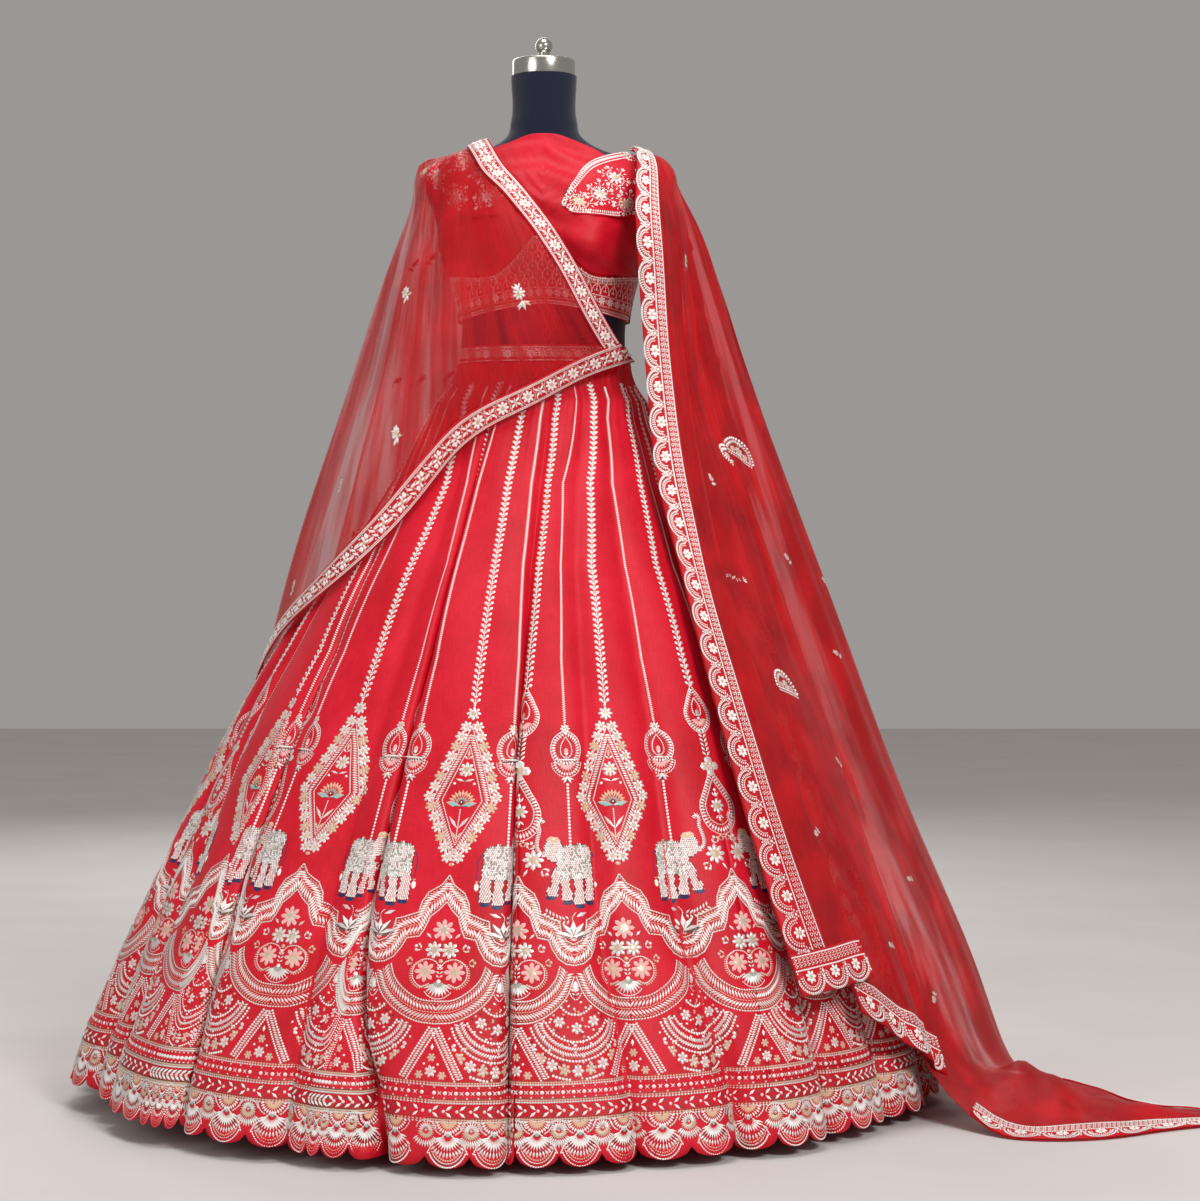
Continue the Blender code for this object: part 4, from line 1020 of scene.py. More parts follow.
def sheerCloth(name, dark, bright, cover, roughness, mesh, shoulder, lapped):
    # a sheer cloth: threads that cover a share of it, on a mesh coarser than the real 1 mm one so that it shows
    material, tree, shader = newMaterial(name, Roughness=roughness, Sheen_Weight=0.15, Sheen_Roughness=0.4,
                                         Specular_IOR_Level=0.35)
    shader.inputs["Sheen Tint"].default_value = linear("#FF5050")
    place = addNode(tree, "ShaderNodeUVMap", uv_map="cloth").outputs["UV"]
    cells = addNode(tree, "ShaderNodeTexVoronoi", {"Vector": place, "Scale": mesh, "Randomness": 0.25},
                    feature="DISTANCE_TO_EDGE")
    shade = addNode(tree, "ShaderNodeTexCoord").outputs["Object"]
    clouds = noise(tree, shade, 14.0, 4.0)
    # long folds that fan out from the shoulder, finer than the mesh: where the cloth lies double it lets less through,
    # and there its colour is also darkened as painted shade of the folds
    spot = addNode(tree, "ShaderNodeSeparateXYZ", {"Vector": shade})
    aside = reckon(tree, "SUBTRACT", spot.outputs["X"], shoulder)
    down = reckon(tree, "SUBTRACT", 1.5, spot.outputs["Z"])
    along = addNode(tree, "ShaderNodeCombineXYZ", {
        "X": reckon(tree, "ARCTAN2", aside, down), "Y": reckon(tree, "MULTIPLY", spot.outputs["Y"], 0.35),
        "Z": reckon(tree, "MULTIPLY", down, 0.08)})
    folds = noise(tree, along.outputs[0], 26.0, 3.0, 0.62)
    foldLayersAndShade = addNode(tree, "ShaderNodeMapRange", {"Value": folds, "From Min": 0.4, "From Max": 0.62}).outputs[0]
    # painted shade: the fold streaks pull the colour towards the dark end of the ramp, on top of the random clouds
    cloudsAndFoldShade = reckon(tree, "MULTIPLY_ADD", foldLayersAndShade, -0.34, clouds)
    tree.links.new(ramp(tree, cloudsAndFoldShade, (0.18, dark), (0.55, bright)), shader.inputs["Base Color"])
    threads = addNode(tree, "ShaderNodeMapRange", {"Value": cells.outputs["Distance"], "From Min": 0.0, "From Max": 0.5,
                                                   "To Min": min(1.0, cover * 1.25), "To Max": cover * 0.8})
    # the real doubling: more cover where the cloth lies in two layers
    more = reckon(tree, "MULTIPLY_ADD", foldLayersAndShade, lapped, 0.8)
    tree.links.new(reckon(tree, "MULTIPLY", threads.outputs[0], more, use_clamp=True), shader.inputs["Alpha"])
    return material


rawSilk = wovenSilk("raw silk dupion, crimson", "#BC0318", "#D60B27", "#E61C38", 0.5, 0.5, 0.16)
redBorder = wovenSilk("red silk border, close woven", "#B00414", "#CC0A1E", "#D8152A", 0.52, 0.35, 0.12)
redNet = sheerCloth("soft net, red nylon", "#C40814", "#EA1624", 0.23, 0.6, 480, -0.15, 1.5)
redOrganza = sheerCloth("silk organza, red", "#A8040F", "#DC0E1C", 0.60, 0.42, 700, 0.13, 0.8)

# fine black jersey, knitted: matt, with a faint rib
blackJersey, tree, shader = newMaterial("black cotton jersey, knitted", Roughness=0.85, Sheen_Weight=0.25,
                                        Specular_IOR_Level=0.3)
place = addNode(tree, "ShaderNodeTexCoord").outputs["Object"]
ribs = addNode(tree, "ShaderNodeTexWave", {"Vector": place, "Scale": 260.0, "Distortion": 0.6, "Detail": 1.0},
               bands_direction="X")
grain = noise(tree, place, 900.0, 2.0)
tree.links.new(ramp(tree, grain, (0.3, "#080D20"), (0.7, "#121A38")), shader.inputs["Base Color"])
bumped(tree, shader, ribs.outputs["Fac"], 0.25, 0.0003)

# nickel-plated steel, spun and polished: clear reflections with faint turning marks
polishedSteel, tree, shader = newMaterial("polished nickel-plated steel", Base_Color="#C9C6C0", Metallic=1.0,
                                          Roughness=0.18)
place = addNode(tree, "ShaderNodeTexCoord").outputs["Object"]
rings = noise(tree, place, 1.0, 2.0, stretch=(4, 4, 1500))
worn = addNode(tree, "ShaderNodeMapRange", {"Value": rings, "To Min": 0.10, "To Max": 0.30})
tree.links.new(worn.outputs[0], shader.inputs["Roughness"])

# black iron, powder coated: a fine orange peel
blackIron, tree, shader = newMaterial("powder-coated iron, black", Base_Color="#16161A", Roughness=0.5)
place = addNode(tree, "ShaderNodeTexCoord").outputs["Object"]
bumped(tree, shader, noise(tree, place, 500.0, 2.0), 0.3, 0.0004)
print("materials made")


buildForm()
buildCholi()
buildWaistband()
print("form, choli and waistband made")
buildSkirt()
print("skirt made")
buildNetDupatta()
buildSilkDupatta()
print("dupattas made")
# Embroidery. Each mark is one bead, stitch or petal: x and y of its middle, its turn in degrees, length, width
# (all in millimetres), its shape (0 round, 1 pointed) and its thread.
threads = {}
for name, colour, metallic, roughness in (
    ("silver", "#E9E3DE", 0.35, 0.34),  # silver zari, bright and a little warm
    ("pearl", "#FFFBF6", 0.0, 0.26),  # glass pearls, the whitest marks
    ("champagne", "#D9BFA6", 0.3, 0.38),  # pale gold dabka coil
    ("antique", "#7D4F45", 0.4, 0.42),  # darkened cord that edges the bands
    ("pink", "#F3B9B4", 0.0, 0.55),  # silk thread from here on
    ("peach", "#EBC0A0", 0.0, 0.55),
    ("aqua", "#9CCBC4", 0.1, 0.4),
    ("sage", "#A9AFA0", 0.1, 0.5),
    ("navy", "#252A58", 0.1, 0.45),
    ("dark", "#3A1D22", 0.1, 0.5),
):
    threads[name] = newMaterial("embroidery, " + name, Base_Color=colour, Metallic=metallic, Roughness=roughness)[0]
threadNumbers = {name: n for n, name in enumerate(threads)}
dice = np.random.default_rng(11)


def mark(x, y, turn, length, width, shape, thread):
    return (x, y, turn, length, width, shape, threadNumbers[thread])


def bead(x, y, size, thread):
    return mark(x, y, 0, size, size, 0, thread)


def placed(marks, x=0.0, y=0.0, turn=0.0, size=1.0, mirrored=False):
    # a group of marks moved, turned about its own origin and, where asked, mirrored left to right
    c, s = math.cos(math.radians(turn)) * size, math.sin(math.radians(turn)) * size
    moved = []
    for mx, my, mTurn, length, width, shape, thread in marks:
        if mirrored:
            mx, mTurn = -mx, 180 - mTurn
        moved.append((x + c * mx - s * my, y + s * mx + c * my, mTurn + turn, length * size, width * size, shape,
                      thread))
    return moved


def curve(points, count=48, closed=False):
    # a smooth line through a few points
    points = np.array(points, float)
    if closed:
        points = np.vstack([points, points[:1]])
    along = np.concatenate([[0], np.cumsum(np.linalg.norm(np.diff(points, axis=0), axis=1))])
    table = {"at": along, "x": points[:, 0], "y": points[:, 1]}
    at = np.linspace(0, along[-1], count)
    return np.stack([read(table, "x", at), read(table, "y", at)], axis=1)


def ring(x, y, across, tall=None, start=0.0, end=360.0, count=40):
    a = np.radians(np.linspace(start, end, count))
    return np.stack([x + across / 2 * np.cos(a), y + (tall or across) / 2 * np.sin(a)], axis=1)


def steps(line, spacing):
    # evenly spaced places on a line, each with the line's direction there
    line = np.array(line, float)
    along = np.concatenate([[0], np.cumsum(np.linalg.norm(np.diff(line, axis=0), axis=1))])
    count = max(1, round(along[-1] / spacing))
    at = (np.arange(count) + 0.5) * along[-1] / count
    x, y = np.interp(at, along, line[:, 0]), np.interp(at, along, line[:, 1])
    ahead, behind = np.minimum(at + 0.5, along[-1]), np.maximum(at - 0.5, 0)
    dx = np.interp(ahead, along, line[:, 0]) - np.interp(behind, along, line[:, 0])
    dy = np.interp(ahead, along, line[:, 1]) - np.interp(behind, along, line[:, 1])
    return list(zip(x, y, np.degrees(np.arctan2(dy, dx))))


def beadRow(line, size=3.0, thread="pearl", spacing=None):
    return [mark(x, y, t, size, size, 0, thread) for x, y, t in steps(line, spacing or size * 1.12)]


def cord(line, width=1.7, thread="silver", slant=14):
    return [mark(x, y, t + slant, 4.4, width, 1, thread) for x, y, t in steps(line, 3.1)]


def across(line, length, width=1.8, thread="silver", spacing=2.6, lean=90, shape=1):
    # stitches laid over a line at an angle to it
    return [mark(x, y, t + lean, length, width, shape, thread) for x, y, t in steps(line, spacing)]


def rosette(x, y, size, petals="silver", heart="champagne", count=6, turn=0.0):
    marks = []
    for n in range(count):
        a = math.radians(turn + 360 * n / count)
        r = 0.31 * size
        marks.append(mark(x + r * math.cos(a), y + r * math.sin(a), math.degrees(a), 0.44 * size, 1.9 * size / count, 0,
                          petals))
    return marks + [bead(x, y, 0.34 * size, heart)]


def flower(x, y, size, petals="pink", middle="silver", heart="sage"):
    # a worked flower: two rings of petals, a dark thread between them, and a heart of small beads
    marks = rosette(x, y, 1.12 * size, petals, heart, 8)[:-1] + [bead(x, y, 0.66 * size, "champagne")]
    marks += cord(ring(x, y, 0.62 * size, count=16), 1.1, "dark")
    return marks + rosette(x, y, 0.56 * size, middle, heart, 6, 20)


def fan(x, y, inner, outer, start, end, count, thread="silver", width=2.2):
    marks = []
    for a in np.radians(np.linspace(start, end, count)):
        r = (inner + outer) / 2
        marks.append(mark(x + r * math.cos(a), y + r * math.sin(a), math.degrees(a), outer - inner, width, 1, thread))
    return marks


def leaf(x, y, turn, length, width=None, thread="silver"):
    # a leaf that starts at a point
    a = math.radians(turn)
    return mark(x + length / 2 * math.cos(a), y + length / 2 * math.sin(a), turn, length, width or length * 0.34, 1,
                thread)


def leafPairs(line, spacing=5.0, length=6.0, width=2.2, thread="silver", lean=48):
    marks = []
    for x, y, t in steps(line, spacing):
        marks += [leaf(x, y, t + lean, length, width, thread), leaf(x, y, t - lean, length, width, thread)]
    return marks


def spray(x, y, turn, size=1.0, thread="silver"):
    # a stem with leaves and three round buds
    marks = [leaf(0, 0, 0, 9, 1.3, "antique"), leaf(3, 0, 50, 7, 2.4, thread), leaf(3, 0, -50, 7, 2.4, thread)]
    marks += [bead(11, 0, 4.6, thread), bead(8.5, 4, 4, thread), bead(8.5, -4, 4, "champagne")]
    return placed(marks, x, y, turn, size)


def band(outer, inner, edges=("silver", "antique"), leaves="silver", spacing=3.9, lean=52, middle="champagne"):
    # a band between two edges: cords along them, and two rows of leaf stitches that meet in its middle
    outer, inner = np.array(outer, float), np.array(inner, float)
    centre, half = (outer + inner) / 2, (outer - inner) / 2
    marks = cord(centre, 1.5, middle)
    for edge, towards in ((outer, 1), (inner, -1)):
        marks += cord(edge, 2.5, edges[0]) + cord(edge - towards * half * 0.17, 1.9, edges[1])
        along = np.linalg.norm(half, axis=1).mean()
        for x, y, t in steps(centre + towards * half * 0.42, spacing):
            marks.append(mark(x, y, t + towards * lean, along * 0.86, 3.1, 1, leaves))
            marks.append(mark(x, y, t + towards * lean, along * 0.70, 1.0, 1, "dark"))
        marks += beadRow(centre + towards * half * 0.78, 2.3, "champagne", spacing)
    return marks


def inside(polygon, x, y):
    # whether each place is inside a closed outline
    found = np.zeros(np.shape(x), bool)
    for (x0, y0), (x1, y1) in zip(polygon, np.roll(polygon, -1, axis=0)):
        crosses = (y0 > y) != (y1 > y)
        found ^= crosses & (x < (x1 - x0) * (y - y0) / (y1 - y0 + 1e-12) + x0)
    return found


def filled(outline, spacing, length, width, turn, names, edge="dark"):
    # rows of stitches inside an outline, with a cord round it
    polygon = curve(outline, 60, closed=True)
    low, high = polygon.min(axis=0), polygon.max(axis=0)
    spacing, length, width = 0.92 * spacing, 1.2 * length, 1.45 * width
    x, y = np.meshgrid(np.arange(low[0], high[0], spacing), np.arange(low[1], high[1], spacing))
    x = x + (np.arange(len(x)) % 2)[:, None] * spacing / 2
    keep = inside(polygon, x, y)
    marks = [mark(a, b, turn + dice.uniform(-12, 12), length, width, 1, names[dice.integers(len(names))])
             for a, b in zip(x[keep], y[keep])]
    return marks + cord(polygon, 2.3, edge)


# The kalis' pattern, for the half from a kali's middle line (0) to its seam (150), with heights up from the hem
kaliPattern = {"scallops": 6, "half": 150.0, "ropes": (57, 80, 102), "peakFoot": 106, "peakTop": 172, "peakHalf": 40,
               "fanStitches": 230}


def hemMarks():
    # three rows of overlapping fans, one of each for each scallop
    low, middle, top = [], [], []
    low += cord(ring(0, 32, 50, 62, 205, 335), 2.4, "pearl") + cord(ring(0, 32, 42, 53, 205, 335), 1.8)
    low += cord(ring(0, 32, 46, 58, 205, 335), 1.2, "antique")
    for side in (-1, 1):
        low += cord(curve([(0, 44), (side * 10, 35), (side * 19, 28), (side * 25, 17)], 12), 2.2, "pearl")
        low += cord(curve([(0, 40), (side * 10, 31.5), (side * 17, 25)], 9), 1.3, "antique")
    low += fan(0, 38, 4, 19, -168, -12, 13, "pearl", 3.0) + fan(0, 38, 18, 27, -152, -28, 13, "silver", 3.2)
    low += fan(0, 38, 8, 26, -146, -34, 12, "dark", 1.0) + beadRow(ring(0, 32, 36, 46, 212, 328), 2.6, "champagne")
    low += [bead(0, 40, 5.5, "aqua")]
    middle += fan(0, 45, 3, 12, -165, -15, 11, "champagne", 3.0) + fan(0, 45, 11, 22, -142, -38, 11, "silver", 3.2)
    middle += cord(ring(0, 45, 26, 25, 10, 170), 2.0) + fan(0, 45, 2, 11, 5, 175, 10, "silver", 2.8)
    middle += [bead(0, 45, 4, "champagne")]
    top += fan(0, 57, 2, 12, -175, -5, 12, "peach", 3.0) + cord(ring(0, 57, 40, 36, 185, 245), 2.2)
    top += cord(ring(0, 57, 40, 36, 295, 355), 2.2) + fan(0, 57, 11, 17, -170, -10, 13, "pearl", 2.8)
    return low, middle, top


def swagFoot(x):
    # the lower edge of the swags, by the distance from the nearest middle line or seam
    return np.interp(x, (0, 20, 43, 61, 73, 75), (175, 177, 187, 205, 230, 243))


def quarterFan():
    # the half circles that hang below a niche, with x from the niche's own line; kept below the swags
    marks = []
    for radius, centre, size in ((23, 209, 3.0), (43, 195, 3.2), (61, 189, 3.2), (83, 188, 3.4), (99, 188, 3.2)):
        marks += beadRow(ring(0, centre, 2 * radius, start=180, end=360, count=60), size + 0.5)
        marks += cord(ring(0, centre, 2 * radius - 6, start=180, end=360, count=60), 1.5, "antique")
    for radius, centre in ((49, 192), (54.5, 190), (88.5, 188), (93.5, 188)):
        line = ring(0, centre, 2 * radius, start=180, end=360, count=60)
        lean = 58 if radius % 1 else 122
        marks += across(line, 7.5, 3.2, "silver", 3.4, lean) + across(line, 6.5, 1.1, "dark", 3.4, lean)
    for a in (-90, -132, -48, -110, -70, -152, -28):
        x, y = 33 * math.cos(math.radians(a)), 202 + 33 * math.sin(math.radians(a))
        marks += rosette(x, y, 15, "silver", "pink", 6, a) if a in (-90, -132, -48) else [bead(x, y, 3.6, "champagne")]
    for n in range(-4, 5):
        a = math.radians(-90 + 13.6 * n)
        marks += rosette(72 * math.cos(a), 188 + 72 * math.sin(a), 15.5, ("silver", "champagne")[n % 2], "pink", 6,
                         20 * n)
    marks += leafPairs([(0, 208), (0, 232)], 4.5, 6.5, 2.6, "silver", 55) + [mark(0, 222, 90, 16, 8, 0, "silver")]
    marks += cord(curve([(0, 240), (-8, 226), (-7, 212), (0, 205), (7, 212), (8, 226), (0, 240)], 24), 1.8)
    for _ in range(kaliPattern["fanStitches"]):  # small stitches all over
        x, y, turn = dice.uniform(-70, 70), dice.uniform(106, 235), dice.uniform(0, 180)
        marks.append(mark(x, y, turn, 4.6, 3.2, 1, ("silver", "champagne", "pearl", "dark")[dice.integers(4)]))
    foot, top, half = (kaliPattern[key] for key in ("peakFoot", "peakTop", "peakHalf"))
    kept = []
    for m in marks:
        x, y = kaliPattern["half"] / 2 - abs(m[0]), m[1]  # x from the nearest middle line or seam
        if foot - 0.5 < y < swagFoot(x) - 3 and x > half * (top - y) / (top - foot) + 4:
            kept.append(m)
    return kept


def peak():
    # the pointed band under a swag's lowest point, with small flowers inside
    marks = rosette(0, 117, 15, "silver", "pink", 7) + rosette(0, 134, 11, "champagne", "pink", 6)
    marks += [mark(0, 147, 90, 9, 4.5, 1, "pearl")]
    for side in (-1, 1):
        marks += rosette(side * 15, 112, 11, "champagne", "pink", 6) + [bead(side * 9, 126, 3.4, "pearl")]
        line = np.array([(side * 1, 171.0), (side * 37, 107.0)])
        marks += beadRow(line + (side * 4.5, 1.5), 3.4) + beadRow(line - (side * 4.5, 2.5), 3.0)
        marks += across(line, 7.0, 3.0, "silver", 3.4, side * 60)
    return [m for m in marks if m[1] < kaliPattern["peakTop"]]


def bouquet():
    marks = flower(0, 295, 25, "pink", "silver", "sage")
    for side in (-1, 1):
        marks += flower(side * 10, 269, 20, "silver", "sage", "silver") + cord(ring(side * 10, 269, 22), 1.5, "antique")
        marks += flower(side * 19, 241, 24, "pink", "peach", "silver")
        scroll = [(0, 246), (side * 6, 254), (side * 20, 257), (side * 33, 248), (side * 34, 232), (side * 22, 222),
                  (side * 12, 226)]
        marks += cord(curve(scroll), 2.0) + across(curve(scroll[2:]) + (side * 2.5, -1.5), 4.5, 2.2, "champagne", 3.0)
        marks += spray(side * 24, 268, 90 - side * 62, 1.0) + spray(side * 33, 252, 90 - side * 80, 0.95, "champagne")
        marks += [leaf(side * 15, 284, 90 - side * 45, 10, 3.6), leaf(side * 8, 283, 90 - side * 30, 7, 3)]
    marks += fan(0, 228, 3, 20, -155, -25, 10, "silver", 4.2) + fan(0, 228, 1, 9, -160, -20, 7, "sage", 3.4)
    marks += [bead(0, 255, 6, "champagne"), bead(0, 249, 4, "pearl")] + leafPairs([(0, 231), (0, 246)], 5, 6, 2.6)
    marks += cord(ring(0, 228, 42, 42, 215, 325), 1.8) + [bead(0, 229, 6, "pearl")]
    return marks


def lotus():
    # the lotus in a niche, with its stem, one leaf on the left and a leafy sprig on the right
    marks = []
    for spread, length, width, thread in ((72, 22, 7.5, "silver"), (38, 23, 8.0, "pearl"), (0, 22, 8.5, "pearl")):
        for side in ((-1, 1) if spread else (1,)):
            a = 90 - side * spread
            marks += [leaf(0, 283, a, length + 2, width + 1.6, "antique"), leaf(0, 286, a, length, width, thread)]
    marks += fan(0, 286, 1, 7, -160, -20, 6, "silver", 2.2) + cord(curve([(0, 305), (1, 311), (-4, 318)], 8), 1.6)
    marks += [leaf(-4, 312, 160, 16, 5.5), leaf(-6, 313, 160, 12, 1.5, "antique")]
    sprig = curve([(3, 309), (14, 308), (26, 313), (36, 319)], 20)
    return marks + leafPairs(sprig, 5.4, 7.5, 3.0, "silver", 55) + cord(sprig, 1.3, "antique")


def elephant():
    # an elephant with its trunk raised, facing right. It stands on y = 0 below the line's pearls.
    body = [(-31, 60), (-29, 76), (-16, 83), (0, 82), (11, 80), (15, 66), (20, 54), (14, 40), (-4, 37), (-22, 38),
            (-30, 46)]
    head = [(10, 74), (13, 88), (24, 93), (33, 86), (34, 74), (29, 64), (20, 60), (13, 64)]
    marks = []
    for lean, leg in (
        (80, [(-31, 58), (-22, 52), (-20, 30), (-19, 8), (-32, 8), (-33, 30)]),
        (90, [(-16, 46), (-4, 44), (-4, 24), (-3, 4), (-16, 4), (-16, 24)]),
        (92, [(4, 46), (15, 46), (14, 30), (12, 10), (0, 10), (3, 28)]),
        (108, [(12, 52), (23, 52), (27, 34), (33, 18), (22, 14), (17, 30)]),
    ):
        marks += filled(leg, 3.4, 4.6, 2.0, lean, ("silver", "pearl"))
    for x, y in ((-26, 5), (-10, 1.5), (6, 7), (28, 14)):
        marks += [mark(x, y, 0, 15, 7, 0, "navy"), mark(x + 1, y + 3.5, 0, 12, 1.6, 1, "pearl")]
    marks += filled(body, 3.0, 4.4, 2.2, 70, ("silver", "pearl", "silver", "sage"))
    marks += filled(head, 3.1, 4.2, 2.0, 40, ("silver", "pearl"))
    for k, x in enumerate((-20, -14.5, -9, -3.5, 2)):  # the blanket's bands
        line = curve([(x + 1, 81), (x - 1, 64), (x + 1, 47)], 12)
        marks += cord(line, 3.0, ("navy", "pearl")[k % 2]) if k in (0, 4) else beadRow(line, 2.2)
    for y in np.arange(50, 79, 3.6):
        marks += [mark(-9, y, 0, 8.5, 1.7, 1, "navy"), mark(-2.6, y + 1.8, 0, 5, 1.7, 1, "dark")]
    marks += cord(curve([(-23, 47), (-8, 44), (6, 47)], 14), 2.6)
    marks += across(curve([(-23, 45), (-8, 42), (6, 45)], 14), 4, 1.6, "champagne")
    trunk = curve([(31, 76), (39, 72), (44, 80), (43, 93), (40, 104), (42, 114), (37, 118), (34, 113)], 30)
    marks += across(trunk, 7.5, 2.2, "silver", 2.3) + cord(trunk + (3.6, 0), 1.3, "dark")
    marks += cord(trunk - (3.6, 0), 1.3, "dark")
    marks += filled([(8, 78), (15, 80), (19, 70), (16, 58), (10, 62)], 3.0, 4.0, 1.9, 100, ("silver",), "navy")
    marks += [mark(22, 90, 10, 19, 11, 0, "peach"), mark(22, 91, 10, 13, 6, 0, "pearl"), bead(28, 80, 3, "navy")]
    marks += [leaf(31, 70, -10, 9, 3, "pearl"), mark(24, 84, 20, 16, 1.8, 1, "navy")]
    tail = curve([(-32, 72), (-37, 62), (-38, 50), (-38, 38)], 14)
    marks += cord(tail, 2.8, "navy", 0)
    return marks + [mark(-38, 28, 90, 12, 6.5, 0, "pearl"), mark(-38, 35, 0, 5, 2, 0, "champagne")]


def diamond():
    # the kite round a fan flower, on a kali's middle line
    marks = []
    for side in (-1, 1):
        outer = [(0, 568), (side * 39, 466), (0, 386)]
        inner = [(0, 545), (side * 28, 466), (0, 404)]
        for k in (0, 1):
            a, b = np.linspace(outer[k], outer[k + 1], 16), np.linspace(inner[k], inner[k + 1], 16)
            middle = (a + b) / 2
            marks += cord(a, 2.0) + cord(b, 1.6, "antique") + across(middle, 8.0, 3.2, "silver", 3.6, side * 62)
            marks += beadRow(b + (b - a) * 0.14, 2.0)
        edge = np.array([(side * 5, 574), (side * 45, 468), (side * 4, 384)])
        for n, (x, y, _) in enumerate(steps(edge, 15.2)):
            marks += rosette(x, y, 16.5, ("silver", "silver", "champagne")[n % 3], "peach", 7, 25 * n)
    marks += flower(0, 586, 17, "silver", "silver", "aqua")
    marks += [leaf(0, 594, 90, 8, 4), mark(0, 381, 0, 8, 5, 0, "champagne")]
    marks += [leaf(0, 524, 90, 12, 4, "peach"), leaf(0, 522, 40, 8, 3), leaf(0, 522, 140, 8, 3)]
    marks += flower(0, 508, 18, "silver", "peach", "pearl")
    marks += cord([(0, 499), (0, 486)], 1.6, "antique")
    for side in (-1, 1):
        marks += [leaf(0, 492, 90 - side * 75, 13, 3.4), leaf(side * 3, 499, 90 - side * 50, 8, 3),
                  bead(side * 13, 489, 4, "pearl")]
        marks += [leaf(0, 459, 90 - side * 78, 21, 7.5, "aqua"), leaf(0, 458, 90 - side * 84, 15, 2.2, "dark")]
        marks += [leaf(0, 428, 90 - side * 38, 22, 4.6), leaf(0, 414, 90 - side * 32, 13, 3.6, "champagne")]
    marks += fan(0, 462, 9, 19, 5, 175, 11, "peach", 4.2) + fan(0, 462, 4, 11, 10, 170, 8, "sage", 3.2)
    marks += [bead(0, 464, 7, "dark"), bead(0, 464, 4, "pearl")]
    return marks + cord([(0, 455), (0, 412)], 2.0)


def medallion():
    # the egg and cup on a niche's line, with pearls down to the elephant
    marks = flower(0, 565, 12, "silver", "silver", "champagne")
    egg = curve([(0, 560), (14, 548), (17, 534), (10, 520), (-10, 520), (-17, 534), (-14, 548)], 44, closed=True)
    marks += across(egg, 8.5, 3.2, "silver", 3.8, 75) + cord(egg + (egg - (0, 538)) * 0.2, 2.0)
    marks += cord(egg * (0.62, 1), 1.2, "antique")
    drop = curve([(0, 554), (7, 540), (6, 528), (0, 524), (-6, 528), (-7, 540)], 26, closed=True)
    marks += cord(drop, 1.8) + [mark(0, 533, 90, 11, 6.5, 0, "pink"), bead(0, 530, 5, "pearl"), bead(0, 525, 4, "aqua")]
    marks += [mark(0, 522, 0, 34, 2.6, 1, "pearl"), mark(0, 519, 0, 38, 2.2, 1, "dark")]
    marks += fan(0, 518, 13, 19, -180, 0, 15, "silver", 3.2) + fan(0, 518, 3, 13, -175, -5, 10, "pink", 3.4)
    marks += cord(ring(0, 518, 40, 40, 180, 360), 1.5)
    marks += [leaf(0, 497, a, 9.5, 3.2, "navy" if a == -90 else "silver") for a in (-90, -52, -128, -15, -165)]
    return marks + [bead(0, 497, 5, "pearl")] + beadRow([(0, 490), (0, 405)], 4.2, "pearl", 4.4)


def seamDrops():
    # the drops, leaf chain and rose sprigs on a seam
    marks = []
    drop = curve([(0, 618), (10, 600), (17, 582), (12, 566), (0, 558), (-12, 566), (-17, 582), (-10, 600)], 50,
                 closed=True)
    marks += across(drop, 8.0, 3.2, "silver", 3.8, 75) + cord(drop + (drop - (0, 584)) * 0.17, 2.0)
    marks += cord(curve([(0, 605), (6, 592), (4, 580), (-4, 580), (-6, 592)], 24, closed=True), 2.2)
    marks += fan(0, 574, 2, 13, -170, -10, 10, "pink", 3.0)
    marks += [mark(0, 583, 90, 11, 6, 0, "sage"), bead(0, 575, 4.5, "pearl")]
    marks += leafPairs([(0, 518), (0, 556)], 6.8, 9.5, 3.4, "silver", 42) + cord([(0, 518), (0, 556)], 1.4, "antique")
    marks += rosette(0, 507, 27, "silver", "peach", 4, 0) + rosette(0, 507, 15, "champagne", "pearl", 4, 45)
    tear = curve([(0, 497), (11, 478), (24, 450), (17, 427), (0, 419), (-17, 427), (-24, 450), (-11, 478)], 64,
                 closed=True)
    marks += across(tear, 9.5, 3.6, "silver", 4.4, 85) + cord(tear + (tear - (0, 455)) * 0.17, 2.0)
    marks += cord(tear - (tear - (0, 455)) * 0.20, 1.8) + cord(tear - (tear - (0, 455)) * 0.28, 1.2, "antique")
    marks += flower(0, 452, 19, "silver", "peach", "dark") + [leaf(0, 464, a, 9, 3) for a in (90, 52, 128)]
    marks += [bead(0, 474, 4.5, "pearl")] + [leaf(0, 440, a, 9, 3.2) for a in (-40, -90, -140)]
    marks += [bead(0, 433, 5, "champagne")]
    for side in (-1, 1):
        marks += flower(side * 19, 388, 24, "silver", "peach", "dark")
        marks += spray(side * 12, 399, 90 - side * 22, 1.1) + spray(side * 6, 402, 90 + side * 4, 0.9, "champagne")
        marks += spray(side * 28, 378, -90 + side * 45, 1.15) + [leaf(side * 12, 376, -90 - side * 30, 12, 3.6)]
        marks += cord([(side * 22, 376), (side * 26, 366)], 1.5, "antique")
    return marks


def lineVine(foot, top, width):
    # the loopy vine on the middle lines and seams
    marks = cord([(0, foot), (0, top)], 1.9, "pearl", 0)
    for y in np.arange(foot + 4, top, 8.6):
        w = width * (1 - 0.38 * (y - foot) / (top - foot))
        for side in (-1, 1):
            marks += [mark(side * w * 0.34, y + 1, 90 - side * 50, 6.6, 4.8, 0, "silver"),
                      mark(side * w * 0.36, y + 1.4, 0, 2.4, 2.0, 0, "dark"),
                      mark(side * w * 0.12, y - 2.6, 90 - side * 40, 5.0, 2.0, 1, "pearl")]
    return marks


